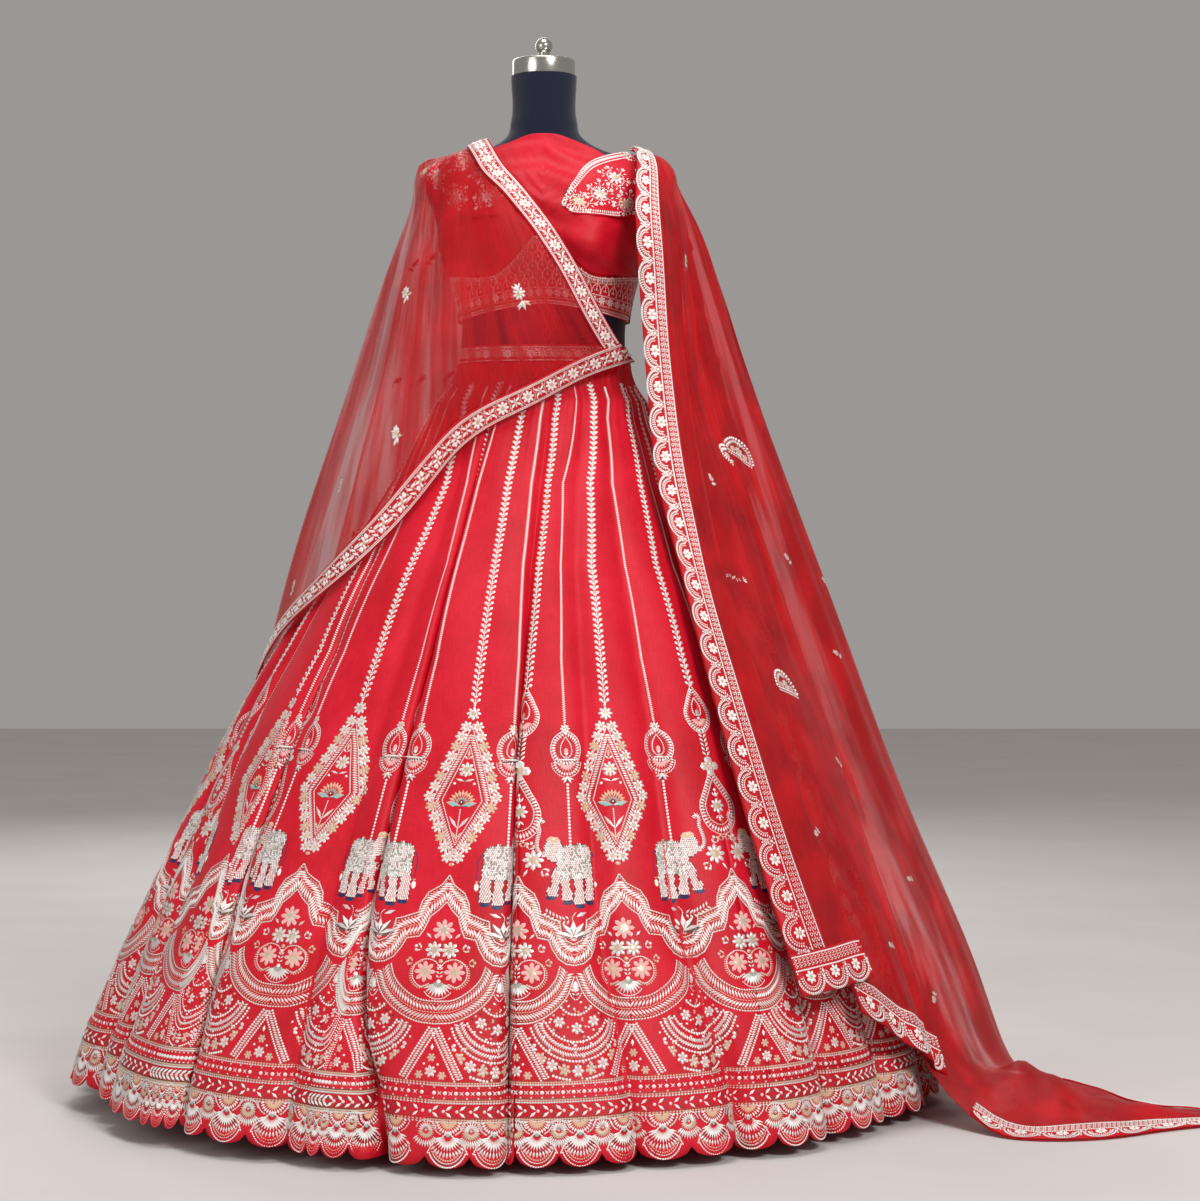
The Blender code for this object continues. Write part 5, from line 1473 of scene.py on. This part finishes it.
def kaliMarks():
    # rows of: the line's place across the kali (-1 to 1), then the mark with x from that line
    rows = []
    low, middle, top = hemMarks()
    count = kaliPattern["scallops"]
    for k in range(count):
        rows += [((2 * k + 1) / count - 1, *m) for m in low + top]
        if k:
            rows += [(2 * k / count - 1, *m) for m in middle]
    rows += [(1, *m) for m in middle if m[0] <= 0] + [(-1, *m) for m in middle if m[0] > 0]
    half = kaliPattern["half"]
    wide = []  # marks with x over the whole half, on the kali's own scale
    for y in kaliPattern["ropes"]:
        for off, width, name in ((-1.3, 2.6, "silver"), (1.3, 2.6, "champagne"), (3.4, 1.4, "antique")):
            wide += cord([(0, y + off), (half, y + off)], width, name, 20)
    for n in range(12):
        x = (n + 0.5) * half / 12
        wide += [bead(x, 91, 5.6, "pearl"), mark(x + 6.2, 91, 45, 9, 2, 1, "silver"),
                 mark(x + 6.2, 91, -45, 9, 2, 1, "silver")]
        wide += [bead(x, 98, 2.5, "silver"), bead(x, 84.5, 2.5, "silver")]
    for n in range(10):
        x = (n + 0.5) * half / 10
        for off, name in ((0, "pearl"), (5, "antique")):
            for y, lean in ((72.6, 40), (64.4, -40)):
                wide.append(mark(x + 2 + off, y, lean, 10, 1.8 if off else 3.8, 1, name))
        wide += [bead(x - 4, 68.5, 4.4, "silver")]
    swagOuter = curve([(0, 204), (18, 205.5), (36, 216), (50, 232), (56, 249)], 30)
    swagInner = curve([(0, 176), (20, 178), (43, 189), (62, 207), (74, 235)], 30)
    nicheOuter = np.array([(0, 367), (7.5, 354), (22, 343.5), (28.5, 330), (30.7, 317),
                           (48, 309.5), (56, 307), (58.5, 291), (65, 281), (75, 276)])
    nicheInner = np.array([(0, 332), (8, 321), (17, 312), (22, 296), (27, 286),
                           (41, 283), (46, 271), (54, 258), (64, 251), (75, 249)])
    quarter = band(swagOuter, swagInner, leaves="silver") + band(nicheOuter, nicheInner, leaves="pearl")
    wide += quarter + [(half - m[0], m[1], 180 - m[2], *m[3:]) for m in quarter]
    for x, y, turn, *rest in wide:
        rows += [(x / half, 0.0, y, turn, *rest), (-x / half, 0.0, y, 180 - turn, *rest)]
    niche = quarterFan() + lotus() + placed(elephant(), 0, 324) + medallion()
    niche += across([(0, 572), (0, 1120)], 5.6, 2.6, "pearl", 3.3, 62)
    rows += [(-0.5, -m[0], m[1], 180 - m[2], *m[3:]) for m in niche] + [(0.5, *m) for m in niche]
    centre = bouquet() + diamond() + lineVine(600, 1128, 13)
    rows += [(0, *m) for m in centre]
    seam = bouquet() + seamDrops() + lineVine(622, 1128, 12)
    seam += peak()
    rows += [(0, *m) for m in peak()]
    rows += [(1, *m) for m in seam if m[0] <= 0] + [(-1, *m) for m in seam if m[0] > 0]
    return np.array(rows)


def beadTree():
    # instances the bead and stitch shapes on points, by their own normal, direction and size
    tree = bpy.data.node_groups.new("embroidery", "GeometryNodeTree")
    face = tree.interface
    face.new_socket("Geometry", in_out="INPUT", socket_type="NodeSocketGeometry")
    relief = face.new_socket("Relief", in_out="INPUT", socket_type="NodeSocketFloat")
    relief.default_value = 1.0
    face.new_socket("Geometry", in_out="OUTPUT", socket_type="NodeSocketGeometry")
    entry, leave = addNode(tree, "NodeGroupInput"), addNode(tree, "NodeGroupOutput")

    def attribute(name, kind):
        return addNode(tree, "GeometryNodeInputNamedAttribute", {"Name": name}, data_type=kind).outputs["Attribute"]

    turned = addNode(tree, "FunctionNodeAxesToRotation", primary_axis="Z", secondary_axis="X")
    tree.links.new(attribute("upward", "FLOAT_VECTOR"), turned.inputs[0])
    tree.links.new(attribute("forward", "FLOAT_VECTOR"), turned.inputs[1])
    stretch = addNode(tree, "ShaderNodeCombineXYZ", {"X": 1.0, "Y": 1.0, "Z": entry.outputs["Relief"]})
    size = addNode(tree, "ShaderNodeVectorMath", {0: attribute("size", "FLOAT_VECTOR"), 1: stretch.outputs[0]},
                   operation="MULTIPLY")
    joined = addNode(tree, "GeometryNodeJoinGeometry")
    for shape, corners in ((0, 6), (1, 4)):
        form = addNode(tree, "GeometryNodeMeshCone",
                       {"Vertices": corners, "Radius Top": 0.0, "Radius Bottom": 0.5, "Depth": 1.0},
                       fill_type="NONE")
        chosen = addNode(tree, "FunctionNodeCompare", {2: attribute("shape", "INT"), 3: shape}, data_type="INT",
                         operation="EQUAL")
        put = addNode(tree, "GeometryNodeInstanceOnPoints",
                      {"Points": entry.outputs["Geometry"], "Selection": chosen.outputs[0],
                      "Instance": form.outputs["Mesh"], "Rotation": turned.outputs[0], "Scale": size.outputs[0]})
        tree.links.new(put.outputs[0], joined.inputs[0])
    flow = addNode(tree, "GeometryNodeRealizeInstances", {"Geometry": joined.outputs[0]}).outputs[0]
    flow = addNode(tree, "GeometryNodeSetShadeSmooth", {"Geometry": flow}).outputs[0]
    for n, material in enumerate(threads.values()):
        chosen = addNode(tree, "FunctionNodeCompare", {2: attribute("thread", "INT"), 3: n}, data_type="INT",
                         operation="EQUAL")
        flow = addNode(tree, "GeometryNodeSetMaterial",
                       {"Geometry": flow, "Selection": chosen.outputs[0], "Material": material}).outputs[0]
    tree.links.new(flow, leave.inputs[0])
    return tree, relief.identifier


beads, reliefInput = beadTree()
# heights as shares of a mark's width, the share that dark outlines keep of theirs, and the limits in millimetres
embroiderySizes = {"relief": 1.0, "beadHeight": 0.42, "stitchHeight": 0.50, "lowShare": 0.5, "lowest": 0.7,
                   "highest": 2.0}
markCount = 0


def embroider(name, at, normals, alongs, acrosses, turns, sizes, shapes, picks):
    # points with attributes, then the tree's result as one plain mesh
    global markCount
    c, s = np.cos(turns)[:, None], np.sin(turns)[:, None]
    forward = unit(c * unit(acrosses) + s * unit(alongs))
    given = embroiderySizes
    height = sizes[:, 1] * np.where(shapes == 0, given["beadHeight"], given["stitchHeight"])
    height = np.clip(height, given["lowest"], given["highest"])
    outlines = np.isin(picks, [threadNumbers[key] for key in ("antique", "navy", "dark")])
    height = height * np.where(outlines, given["lowShare"], 1.0)
    stretch = np.column_stack([sizes, height]) / 1000
    mesh = bpy.data.meshes.new(name)
    mesh.from_pydata((at - normals * 0.0001).tolist(), [], [])
    for key, kind, data in (("upward", "FLOAT_VECTOR", normals), ("forward", "FLOAT_VECTOR", forward),
                            ("size", "FLOAT_VECTOR", stretch)):
        mesh.attributes.new(key, kind, "POINT").data.foreach_set("vector", data.astype(np.float32).ravel())
    for key, data in (("shape", shapes), ("thread", picks)):
        mesh.attributes.new(key, "INT", "POINT").data.foreach_set("value", data.astype(np.int32))
    thing = newObject(name, mesh)
    nodes = thing.modifiers.new("embroidery", "NODES")
    nodes.node_group = beads
    nodes[reliefInput] = embroiderySizes["relief"]
    made = bpy.data.meshes.new_from_object(thing.evaluated_get(bpy.context.evaluated_depsgraph_get()))
    thing.modifiers.clear()
    thing.data = made
    made.name = name
    for key in ("upward", "forward", "size", "shape", "thread"):
        if key in made.attributes:
            made.attributes.remove(made.attributes[key])
    markCount += len(at)
    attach(thing, "root")


def lookUp(grid, rows, columns):
    # a grid's values at places between its rows and columns
    rows, columns = np.clip(rows, 0, len(grid) - 1.001), np.clip(columns, 0, grid.shape[1] - 1.001)
    i, j = rows.astype(int), columns.astype(int)
    a, b = (rows - i)[:, None], (columns - j)[:, None]
    upper = (1 - b) * grid[i, j] + b * grid[i, j + 1]
    lower = (1 - b) * grid[i + 1, j] + b * grid[i + 1, j + 1]
    return (1 - a) * upper + a * lower


def layOn(name, grid, normals, rows, columns, marks, out=0.0):
    # lays marks at places on a grid; each is a turn in degrees, a length, a width, a shape and a thread
    at = lookUp(grid, rows, columns)
    upward = unit(lookUp(normals, rows, columns))
    lastRow, lastColumn = len(grid) - 1, grid.shape[1] - 1
    alongs = lookUp(grid, np.minimum(rows + 0.5, lastRow), columns)
    alongs = alongs - lookUp(grid, np.maximum(rows - 0.5, 0), columns)
    acrosses = lookUp(grid, rows, np.minimum(columns + 0.5, lastColumn))
    acrosses = acrosses - lookUp(grid, rows, np.maximum(columns - 0.5, 0))
    at = at + upward * np.asarray(out)[..., None]
    shapes, picks = marks[:, 3:].T.astype(int)
    embroider(name, at, upward, alongs, acrosses, np.radians(marks[:, 0]), marks[:, 1:3], shapes, picks)


def evenGrid(grid, parts):
    # moves each row's points so that they are evenly spaced within each part of it
    each = (grid.shape[1] - 1) // parts
    moved = grid.copy()
    for row, line in enumerate(grid):
        for part in range(parts):
            piece = line[part * each:(part + 1) * each + 1]
            along = np.concatenate([[0], np.cumsum(np.linalg.norm(np.diff(piece, axis=0), axis=1))])
            even = np.linspace(0, along[-1], each + 1)
            spaced = [np.interp(even, along, piece[:, k]) for k in range(3)]
            moved[row, part * each:(part + 1) * each + 1] = np.stack(spaced, axis=1)
    return moved


def embroiderKalis():
    pattern = kaliMarks()
    climbs = [lengths(charts[f"kali{n + 1:02d}"]["grid"][::-1], 0)[:, 30] for n in range(kaliCount)]
    climb = np.mean(climbs, axis=0) * 1000
    for n in range(kaliCount):
        grid = evenGrid(charts[f"kali{n + 1:02d}"]["grid"], 4)
        grid, normals = grid[::-1], gridNormals(grid)[::-1]
        quarters = np.linalg.norm(np.diff(grid, axis=1), axis=2).reshape(len(grid), 4, -1).sum(axis=2) * 1000
        place, x, y = pattern[:, :3].T
        share = np.interp(y, climb, np.arange(len(climb)))
        part = np.clip(np.floor((place + np.sign(x) * 1e-3 + 1) * 2), 0, 3).astype(int)
        rooms = np.array([np.interp(share, np.arange(len(quarters)), quarters[:, k]) for k in range(4)])
        room = rooms[part, np.arange(len(part))]
        wanted = np.interp(y, (0, 110, 330, 480, 600, 1100), (75, 75, 66, 52, 44, 20))
        squeeze = np.minimum(1.0, room / wanted)
        columns = (np.clip(place + 0.5 * x * squeeze / room, -1, 1) + 1) * 30
        out = np.where(share < 0.0835 * 200, hemLift + trimWall, 0.0)
        marks = pattern[:, 3:].copy()
        marks[:, 1:3] *= np.where(x == 0, 1, 0.35 + 0.65 * squeeze)[:, None]
        layOn(f"kaliEmbroidery{n + 1:02d}", grid, normals, share, columns, marks, out=out)


embroiderKalis()
print("kalis embroidered,", markCount, "marks")


# The border of the net dupatta: round flowers and crosses in turn. x runs along a border, y across it.
netBorderPattern = {"width": 32.0, "repeat": 39.0}
silkBorderPattern = {"width": 56.0, "repeat": 51.0}


def netBorderMarks(length):
    marks = []
    count = max(1, round(length / netBorderPattern["repeat"]))
    for n in range(count):
        x = (n + 0.5) * length / count
        marks += rosette(x, 0, 19, "pearl", "champagne", 8, 11) + cord(ring(x, 0, 22), 1.6)
        marks += [bead(x, 0, 7, "champagne")]
        marks += [bead(x, 0, 3.2, "pearl")]
        for a in (38, 142, 218, 322):
            marks.append(leaf(x + 19.5, 0, a, 11.5, 4.4, "pearl"))
        for side in (-1, 1):
            marks += [leaf(x + 19.5, 0, 90 * side, 8, 3.0)]
            marks += [bead(x + off, side * 8, 3, "silver") for off in (12, -12)]
            marks += [bead(x + off, 0, 3, "champagne") for off in (13, 26)]
    for side in (-1, 1):
        for y, width, name in ((11.2, 2.4, "silver"), (13.2, 2.0, "pearl"), (9.4, 1.2, "antique")):
            marks += cord([(0, side * y), (length, side * y)], width, name)
    return marks


def silkBorderMarks(length):
    # y = -28 is the scalloped outer edge
    marks = []
    count = max(1, round(length / silkBorderPattern["repeat"]))
    for n in range(count):
        x = (n + 0.5) * length / count
        flat = rosette(0, -5, 18, "pearl", "champagne", 7) + cord(ring(0, -5, 9.5, count=14), 1.0, "dark")
        flat += [bead(0, -5, 4, "silver")]
        flat += cord(ring(0, -5, 28, 27, 170, 370), 2.2)
        flat += across(ring(0, -5, 35, 34, 175, 365), 5.0, 2.4, "pearl", 3.3, 70)
        flat += cord(ring(0, -5, 41, 40, 180, 360), 1.6, "dark") + beadRow(ring(0, -5, 46, 43.5, 182, 358, 60), 3.0)
        flat += cord(ring(0, -5, 50, 47, 186, 354), 2.0)
        flat += fan(25.5, 0, 3, 9, 200, 340, 5, "silver", 2.6)
        flat += [bead(25.5, -1, 4.5, "pearl"), bead(25.5, -12, 3, "champagne")]
        flat += [bead(22, 2, 3, "silver"), bead(-22, 2, 3, "silver"), mark(25.5, -16, 90, 5, 2.6, 1, "pearl")]
        marks += placed(flat, x)
    for y, width, name in ((5.5, 2.8, "pearl"), (8.2, 1.4, "antique"), (15.8, 1.8, "silver"), (24.0, 2.6, "pearl"),
                           (26.4, 1.3, "antique")):
        marks += cord([(0, y), (length, y)], width, name)
    for x in np.arange(4, length - 3, 7.6):
        for y in (11.8, 19.8):
            marks += [mark(x, y + 1.7, 25, 5.4, 2.0, 1, "silver"), mark(x, y - 1.7, -25, 5.4, 2.0, 1, "silver"),
                      bead(x + 2.6, y, 2.6, "pearl")]
    return marks


def onBorder(name, design, pattern, axis=0, outerFirst=True):
    # lays a border's marks along a chart: axis 0 where its rows run along the border
    grid, normals = charts[name]["grid"], charts[name]["normals"]
    if axis:
        grid, normals = grid.transpose(1, 0, 2), normals.transpose(1, 0, 2)
    if not outerFirst:
        grid, normals = grid[:, ::-1], normals[:, ::-1]
    middle = lengths(grid, 0)[:, grid.shape[1] // 2] * 1000
    marks = np.array(design(middle[-1]))
    marks[:, 2] = 90 - marks[:, 2]
    rows = np.interp(marks[:, 0], middle, np.arange(len(middle)))
    columns = (marks[:, 1] / pattern["width"] + 0.5) * (grid.shape[1] - 1)
    layOn(name + "Embroidery", grid, normals, rows, columns, marks[:, 2:])


def onCholi(name, marks):
    # lays marks on a piece of the choli: x from its front edge or middle, y up from its foot, in millimetres
    grid, normals = charts[name]["grid"][::-1], charts[name]["normals"][::-1]
    marks = np.array(marks)
    x, y = marks[:, :2].T
    across = lengths(grid, 1) * 1000
    up = lengths(grid, 0) * 1000
    middle = grid.shape[1] // 2
    centred = across - across[:, [middle]]
    columns = np.interp(x, centred[len(grid) // 2], np.arange(grid.shape[1]))
    high = np.interp(columns, np.arange(grid.shape[1]), up[-1])
    near, far = centred[len(grid) // 2, 0], centred[len(grid) // 2, -1]
    keep = (y > 0.5) & (y < high - 0.5) & (abs(x) < far - 0.5) & (x > near + 0.5)
    rows = y / high * (len(grid) - 1)
    layOn(name + "Embroidery", grid, normals, rows[keep], columns[keep], marks[keep, 2:])


def onTop(name, marks):
    # lays marks down from a piece's top edge
    charts[name + "Top"] = {key: charts[name][key][::-1] for key in ("grid", "normals")}
    onCholi(name + "Top", marks)


def edgeTrim(line, inward, names=("pearl", "champagne", "silver")):
    # a cord, a row of leaves, a second cord and a row of beads along a garment's edge
    line, towards = np.array(line, float), np.array(inward, float)
    marks = cord(line, 2.2, names[0]) + across(line + towards * 4.2, 6.0, 2.2, names[2], 3.0, 60)
    return marks + cord(line + towards * 8.0, 1.4, "antique") + beadRow(line + towards * 10.2, 2.4, names[1])


def bandMarks(width):
    # the midriff band: rows of small scales with a sprig in each, over a row of round flowers and a trim
    marks = edgeTrim([(-width, 2), (width, 2)], (0, 0.85)) + cord([(-width, 25), (width, 25)], 2.0)
    for x in np.arange(-width, width, 15):
        marks += rosette(x, 18, 12.5, "silver", "pink", 7) + [mark(x + 7.5, 18, 90, 8, 2.4, 1, "champagne")]
    for row in range(6):
        y, shift = 28 + 12.5 * row, 7.35 * (row % 2)
        for x in np.arange(-round(width / 14.7) * 14.7 + shift, width, 14.7):
            marks += cord(ring(x, y, 14.2, 24, 5, 175, 12), 1.9) + [mark(x, y + 4.5, 90, 5.5, 2.2, 1, "pearl")]
            marks += [mark(x - 2.4, y + 3, 125, 3.6, 1.6, 1, "champagne"),
                      mark(x + 2.4, y + 3, 55, 3.6, 1.6, 1, "champagne")]
            marks += [bead(x, y + 8.8, 2.4, "silver"), bead(x + 7.3, y, 2.8, "pearl")]
    return marks


def yokeMarks():
    # a yoke: large flowers with scrolls, and sprigs of small ones round them
    marks = cord([(-170, 3), (-62, 3)], 2.4, "pearl") + across([(-170, 7.5), (-62, 7.5)], 6.5, 2.6, "silver", 3.2, 60)
    for n, (x, y) in enumerate(((-86, 40), (-120, 22), (-54, 66), (-48, 22), (-10, 48), (14, 92), (34, 34), (66, 78),
                                (84, 34), (108, 74))):
        big = flower(0, 0, 19, ("silver", "champagne")[n % 2], "pink", "sage")
        big += across(ring(0, 0, 26, 23, 20, 320, 30), 3.6, 2.2, "silver", 2.8, 70)
        for k in range(6):
            a = 60 * k + 20
            u, v = math.cos(math.radians(a)), math.sin(math.radians(a))
            reach = 19 + 3.5 * (k % 2)
            big += cord([(11 * u, 11 * v), (reach * u, reach * v)], 1.4)
            big += rosette(reach * u, reach * v, 6.2, "pearl", "champagne", 5, a)
            big += [leaf(15 * u - 3 * v, 15 * v + 3 * u, a + 50, 6, 2.4),
                    leaf(15 * u + 3 * v, 15 * v - 3 * u, a - 50, 6, 2.4)]
        marks += placed(big, x, y, 35 * n)
    return marks


def neckMarks(width):
    # the trim along the neck edge
    line = [(-width, 6), (width, 6)]
    marks = cord([(-width, 1.5), (width, 1.5)], 2.6, "pearl") + across(line, 8.0, 3.2, "silver", 3.4, 58)
    return marks + across(line, 7.0, 1.2, "dark", 3.4, 58) + cord([(-width, 10.8), (width, 10.8)], 2.2, "pearl")


def backMarks(width):
    # a back panel: a trim along its foot and single sprigs
    marks = edgeTrim([(-width, 2.5), (width, 2.5)], (0, 1))
    for x in (-45, 5, 50):
        for y in (50, 110, 160):
            marks += placed(buti(0.8), x, y)
    return marks


def waistbandMarks(width):
    marks = cord([(-width, 1.5), (width, 1.5)], 2.2) + cord([(-width, 4), (width, 4)], 1.3, "antique")
    for n, x in enumerate(np.arange(-width, width, 17)):
        marks += rosette(x, 11.5, 14, ("silver", "champagne")[n % 2], "pink", 8)
        marks += leafPairs([(x + 8.5, 5), (x + 8.5, 17)], 4, 5, 2.2, "pearl")
        marks += across(ring(x, 11, 20, 18, 20, 160, 14), 3.4, 2.2, "silver", 2.8)
    return marks + beadRow([(-width, 21), (width, 21)], 2.6)


def buti(size=1.0, heart="peach"):
    # a small worked sprig, alone on the cloth
    marks = flower(0, 8, 13, "silver", heart, "pearl")
    marks += [leaf(0, 0, a, 12, 4.2, t) for a, t in ((-90, "silver"), (-50, "champagne"), (-130, "silver"))]
    marks += [leaf(0, 12, a, 9, 3.4) for a in (90, 55, 125)]
    marks += [leaf(0, -3, -12, 9, 3.2, "champagne"), leaf(0, -3, 192, 9, 3.2)]
    return placed(marks, 0, 0, 0, size)


def halfMoon():
    # a large half-moon motif: a scalloped rim round flowers
    marks = beadRow(ring(0, 0, 54, 60, 0, 180), 4.6) + across(ring(0, 0, 43, 48, 4, 176), 7.5, 3.4, "silver", 3.8, 75)
    marks += cord(ring(0, 0, 38, 42, 0, 180), 1.4, "antique") + cord([(-26, 0), (26, 0)], 2.6, "pearl")
    marks += beadRow([(-26, -4), (26, -4)], 3.4, "silver")
    marks += flower(0, 8, 15, "silver", "peach", "sage") + flower(-12, 6, 9, "pink") + flower(12, 6, 9, "pink")
    return marks + spray(0, 16, 90, 0.8)


def photoPlace(x, y):
    # where points show in the 1200 by 1201 photograph
    return lambda grid: (600 + (grid[..., 0] - 0.081) * 2967 / (4.3 + grid[..., 1]) - x,
                         559 - (grid[..., 2] - 0.76) * 2967 / (4.3 + grid[..., 1]) - y)


def onSheets(names, spots):
    # sprigs on a sheet: spots are photograph places with a turn, or (row share, column share) with a turn
    for name in names:
        grid, normals = charts[name]["grid"], charts[name]["normals"]
        parts = []
        for (a, b, turn), motif in spots[name]:
            if a > 2:
                dx, dy = photoPlace(a, b)(grid)
                near = np.hypot(dx, dy) + 4 * (normals[..., 1] > 0) * 100
                row, column = np.unravel_index(np.argmin(near), near.shape)
                if near[row, column] > 12:
                    continue
            else:
                row, column = a * (len(grid) - 1), b * (grid.shape[1] - 1)
            i, j = min(int(row), len(grid) - 2), min(int(column), grid.shape[1] - 2)
            down = np.linalg.norm(grid[i + 1, j] - grid[i, j]) * 1000
            side = np.linalg.norm(grid[i, j + 1] - grid[i, j]) * 1000
            x, y, turns, *rest = np.array(placed(motif, 0, 0, turn)).T
            parts.append(np.column_stack([row - y / down, column + x / side, -turns, *rest]))
        if not parts:
            continue
        marks = np.vstack(parts)
        row, column = marks[:, :2].T
        fits = (row > 0.3) & (row < len(grid) - 1.3) & (column > 0.3) & (column < grid.shape[1] - 1.3)
        layOn(name + "Sprigs", grid, normals, row[fits], column[fits], marks[fits, 2:])


def scattered(rows, columns, size=0.7):
    # sprigs in offset rows where the photograph doesn't show the cloth
    spots = []
    for n, row in enumerate(rows):
        for column in columns:
            spots.append(((row, min(0.88, column + 0.11 * (n % 2)), 30 * n), buti(size)))
    return spots


for part, axis in (("Neck", 0), ("End", 1), ("BackNeck", 0), ("BackEnd", 1)):
    onBorder("net" + part + "Border", netBorderMarks, netBorderPattern, axis)
for part, axis, outerFirst in (("Pleat1Edge", 0, True), ("Pleat1End", 1, False), ("Pleat2End", 1, False),
                               ("Pleat3Near", 0, True), ("Pleat3Far", 0, False), ("Back", 1, False)):
    onBorder("silk" + part + "Border", silkBorderMarks, silkBorderPattern, axis, outerFirst)
print("borders embroidered,", markCount, "marks")
onCholi("midriff", bandMarks(230))
onTop("midriff", edgeTrim([(-230, 2.5), (230, 2.5)], (0, 0.75)))
for word in ("Right", "Left"):
    onCholi("yoke" + word, yokeMarks())
    onTop("yoke" + word, neckMarks(180))
    onTop("back" + word, neckMarks(180))
    onCholi("back" + word, backMarks(180))
onCholi("waistbandFront", waistbandMarks(220))
onCholi("waistbandBack", waistbandMarks(220))
netSpots = [((405, 297, 25), buti(1.0)), ((392, 437, 20), buti(1.0)), ((525, 300, 0), buti(1.25)),
            ((340, 487, 10), buti(0.7)), ((291, 590, 10), buti(0.8))]
silkPlaces = ((686, 263), (710, 480), (790, 555), (824, 588), (839, 652), (840, 762),
              (910, 872), (890, 948), (745, 575), (817, 832), (935, 1005))
silkSpots = [((x, y, 15 * n), buti(0.62)) for n, (x, y) in enumerate(silkPlaces)]
silkSpots += [((738, 459, -30), halfMoon()), ((787, 692, 10), halfMoon())]
spots = {"netFront": netSpots, "netBack": scattered((0.2, 0.36, 0.52, 0.68, 0.84), (0.2, 0.45, 0.7)),
         "silkPleat1": silkSpots[:3], "silkPleat2": silkSpots, "silkPleat3": silkSpots,
         "silkBack": scattered((0.2, 0.36, 0.52, 0.68, 0.82), (0.2, 0.45, 0.7))}
onSheets(("netFront", "netBack"), spots)
onSheets(("silkPleat2", "silkPleat3", "silkBack"), spots)
print("embroidered,", markCount, "marks")

# The studio: a pale plain floor, soft light and the photograph's camera
floorMesh = bpy.data.meshes.new("floor")
floorMesh.from_pydata([(-9, -9, -0.0006), (9, -9, -0.0006), (9, 9, -0.0006), (-9, 9, -0.0006)], [], [(0, 1, 2, 3)])
floorPaper, tree, shader = newMaterial("matt studio paper, pale grey", Roughness=0.9, Specular_IOR_Level=0.2)
place = addNode(tree, "ShaderNodeTexCoord").outputs["Object"]
fibres = noise(tree, place, 3.0, 5.0)
tree.links.new(ramp(tree, fibres, (0.3, "#D9D4D1"), (0.7, "#DFDAD7")), shader.inputs["Base Color"])
newObject("floor", floorMesh, floorPaper)

world = bpy.data.worlds.new("studio")
bpy.context.scene.world = world
world.use_nodes = True
world.node_tree.nodes["Background"].inputs["Color"].default_value = linear("#E9E4E1")
world.node_tree.nodes["Background"].inputs["Strength"].default_value = 0.40
lights = {  # place, where it looks, size in metres, watts
    "key": ((1.9, -3.6, 3.1), (0.1, 0, 0.8), 1.3, 95),
    "fill": ((-3.0, -3.2, 1.9), (-0.1, 0, 0.6), 2.4, 30),
    "top": ((0.0, -0.6, 3.9), (0, 0, 0.8), 1.8, 40),
    "back": ((-0.8, 3.4, 2.6), (0, 0, 0.8), 2.2, 45),
}
for name, (where, target, size, watts) in lights.items():
    lamp = bpy.data.lights.new(name, "AREA")
    lamp.shape, lamp.size, lamp.energy = "DISK", size, watts
    holder = bpy.data.objects.new(name, lamp)
    holder.location = where
    holder.rotation_euler = (Vector(target) - Vector(where)).to_track_quat("-Z", "Y").to_euler()
    bpy.context.scene.collection.objects.link(holder)

camera = bpy.data.cameras.new("camera")
camera.sensor_fit, camera.sensor_width, camera.lens = "HORIZONTAL", 36.0, 89.0
eye = bpy.data.objects.new("camera", camera)
eye.location = (0.081, -4.3, 0.76)
eye.rotation_euler = (math.radians(90 - 0.80), 0, 0)
bpy.context.scene.collection.objects.link(eye)
bpy.context.scene.camera = eye
bpy.context.scene.view_settings.view_transform = "Standard"

# The cut of each piece, as its cloth measures on the form. Sheets that fold finer than is modelled are cut wider.
for name, (piece, face) in cloths.items():
    sides = np.linalg.norm(np.cross(face[1:, :-1] - face[:-1, :-1], face[:-1, 1:] - face[:-1, :-1]), axis=2) / 2
    sides = sides + np.linalg.norm(np.cross(face[1:, :-1] - face[1:, 1:], face[:-1, 1:] - face[1:, 1:]), axis=2) / 2
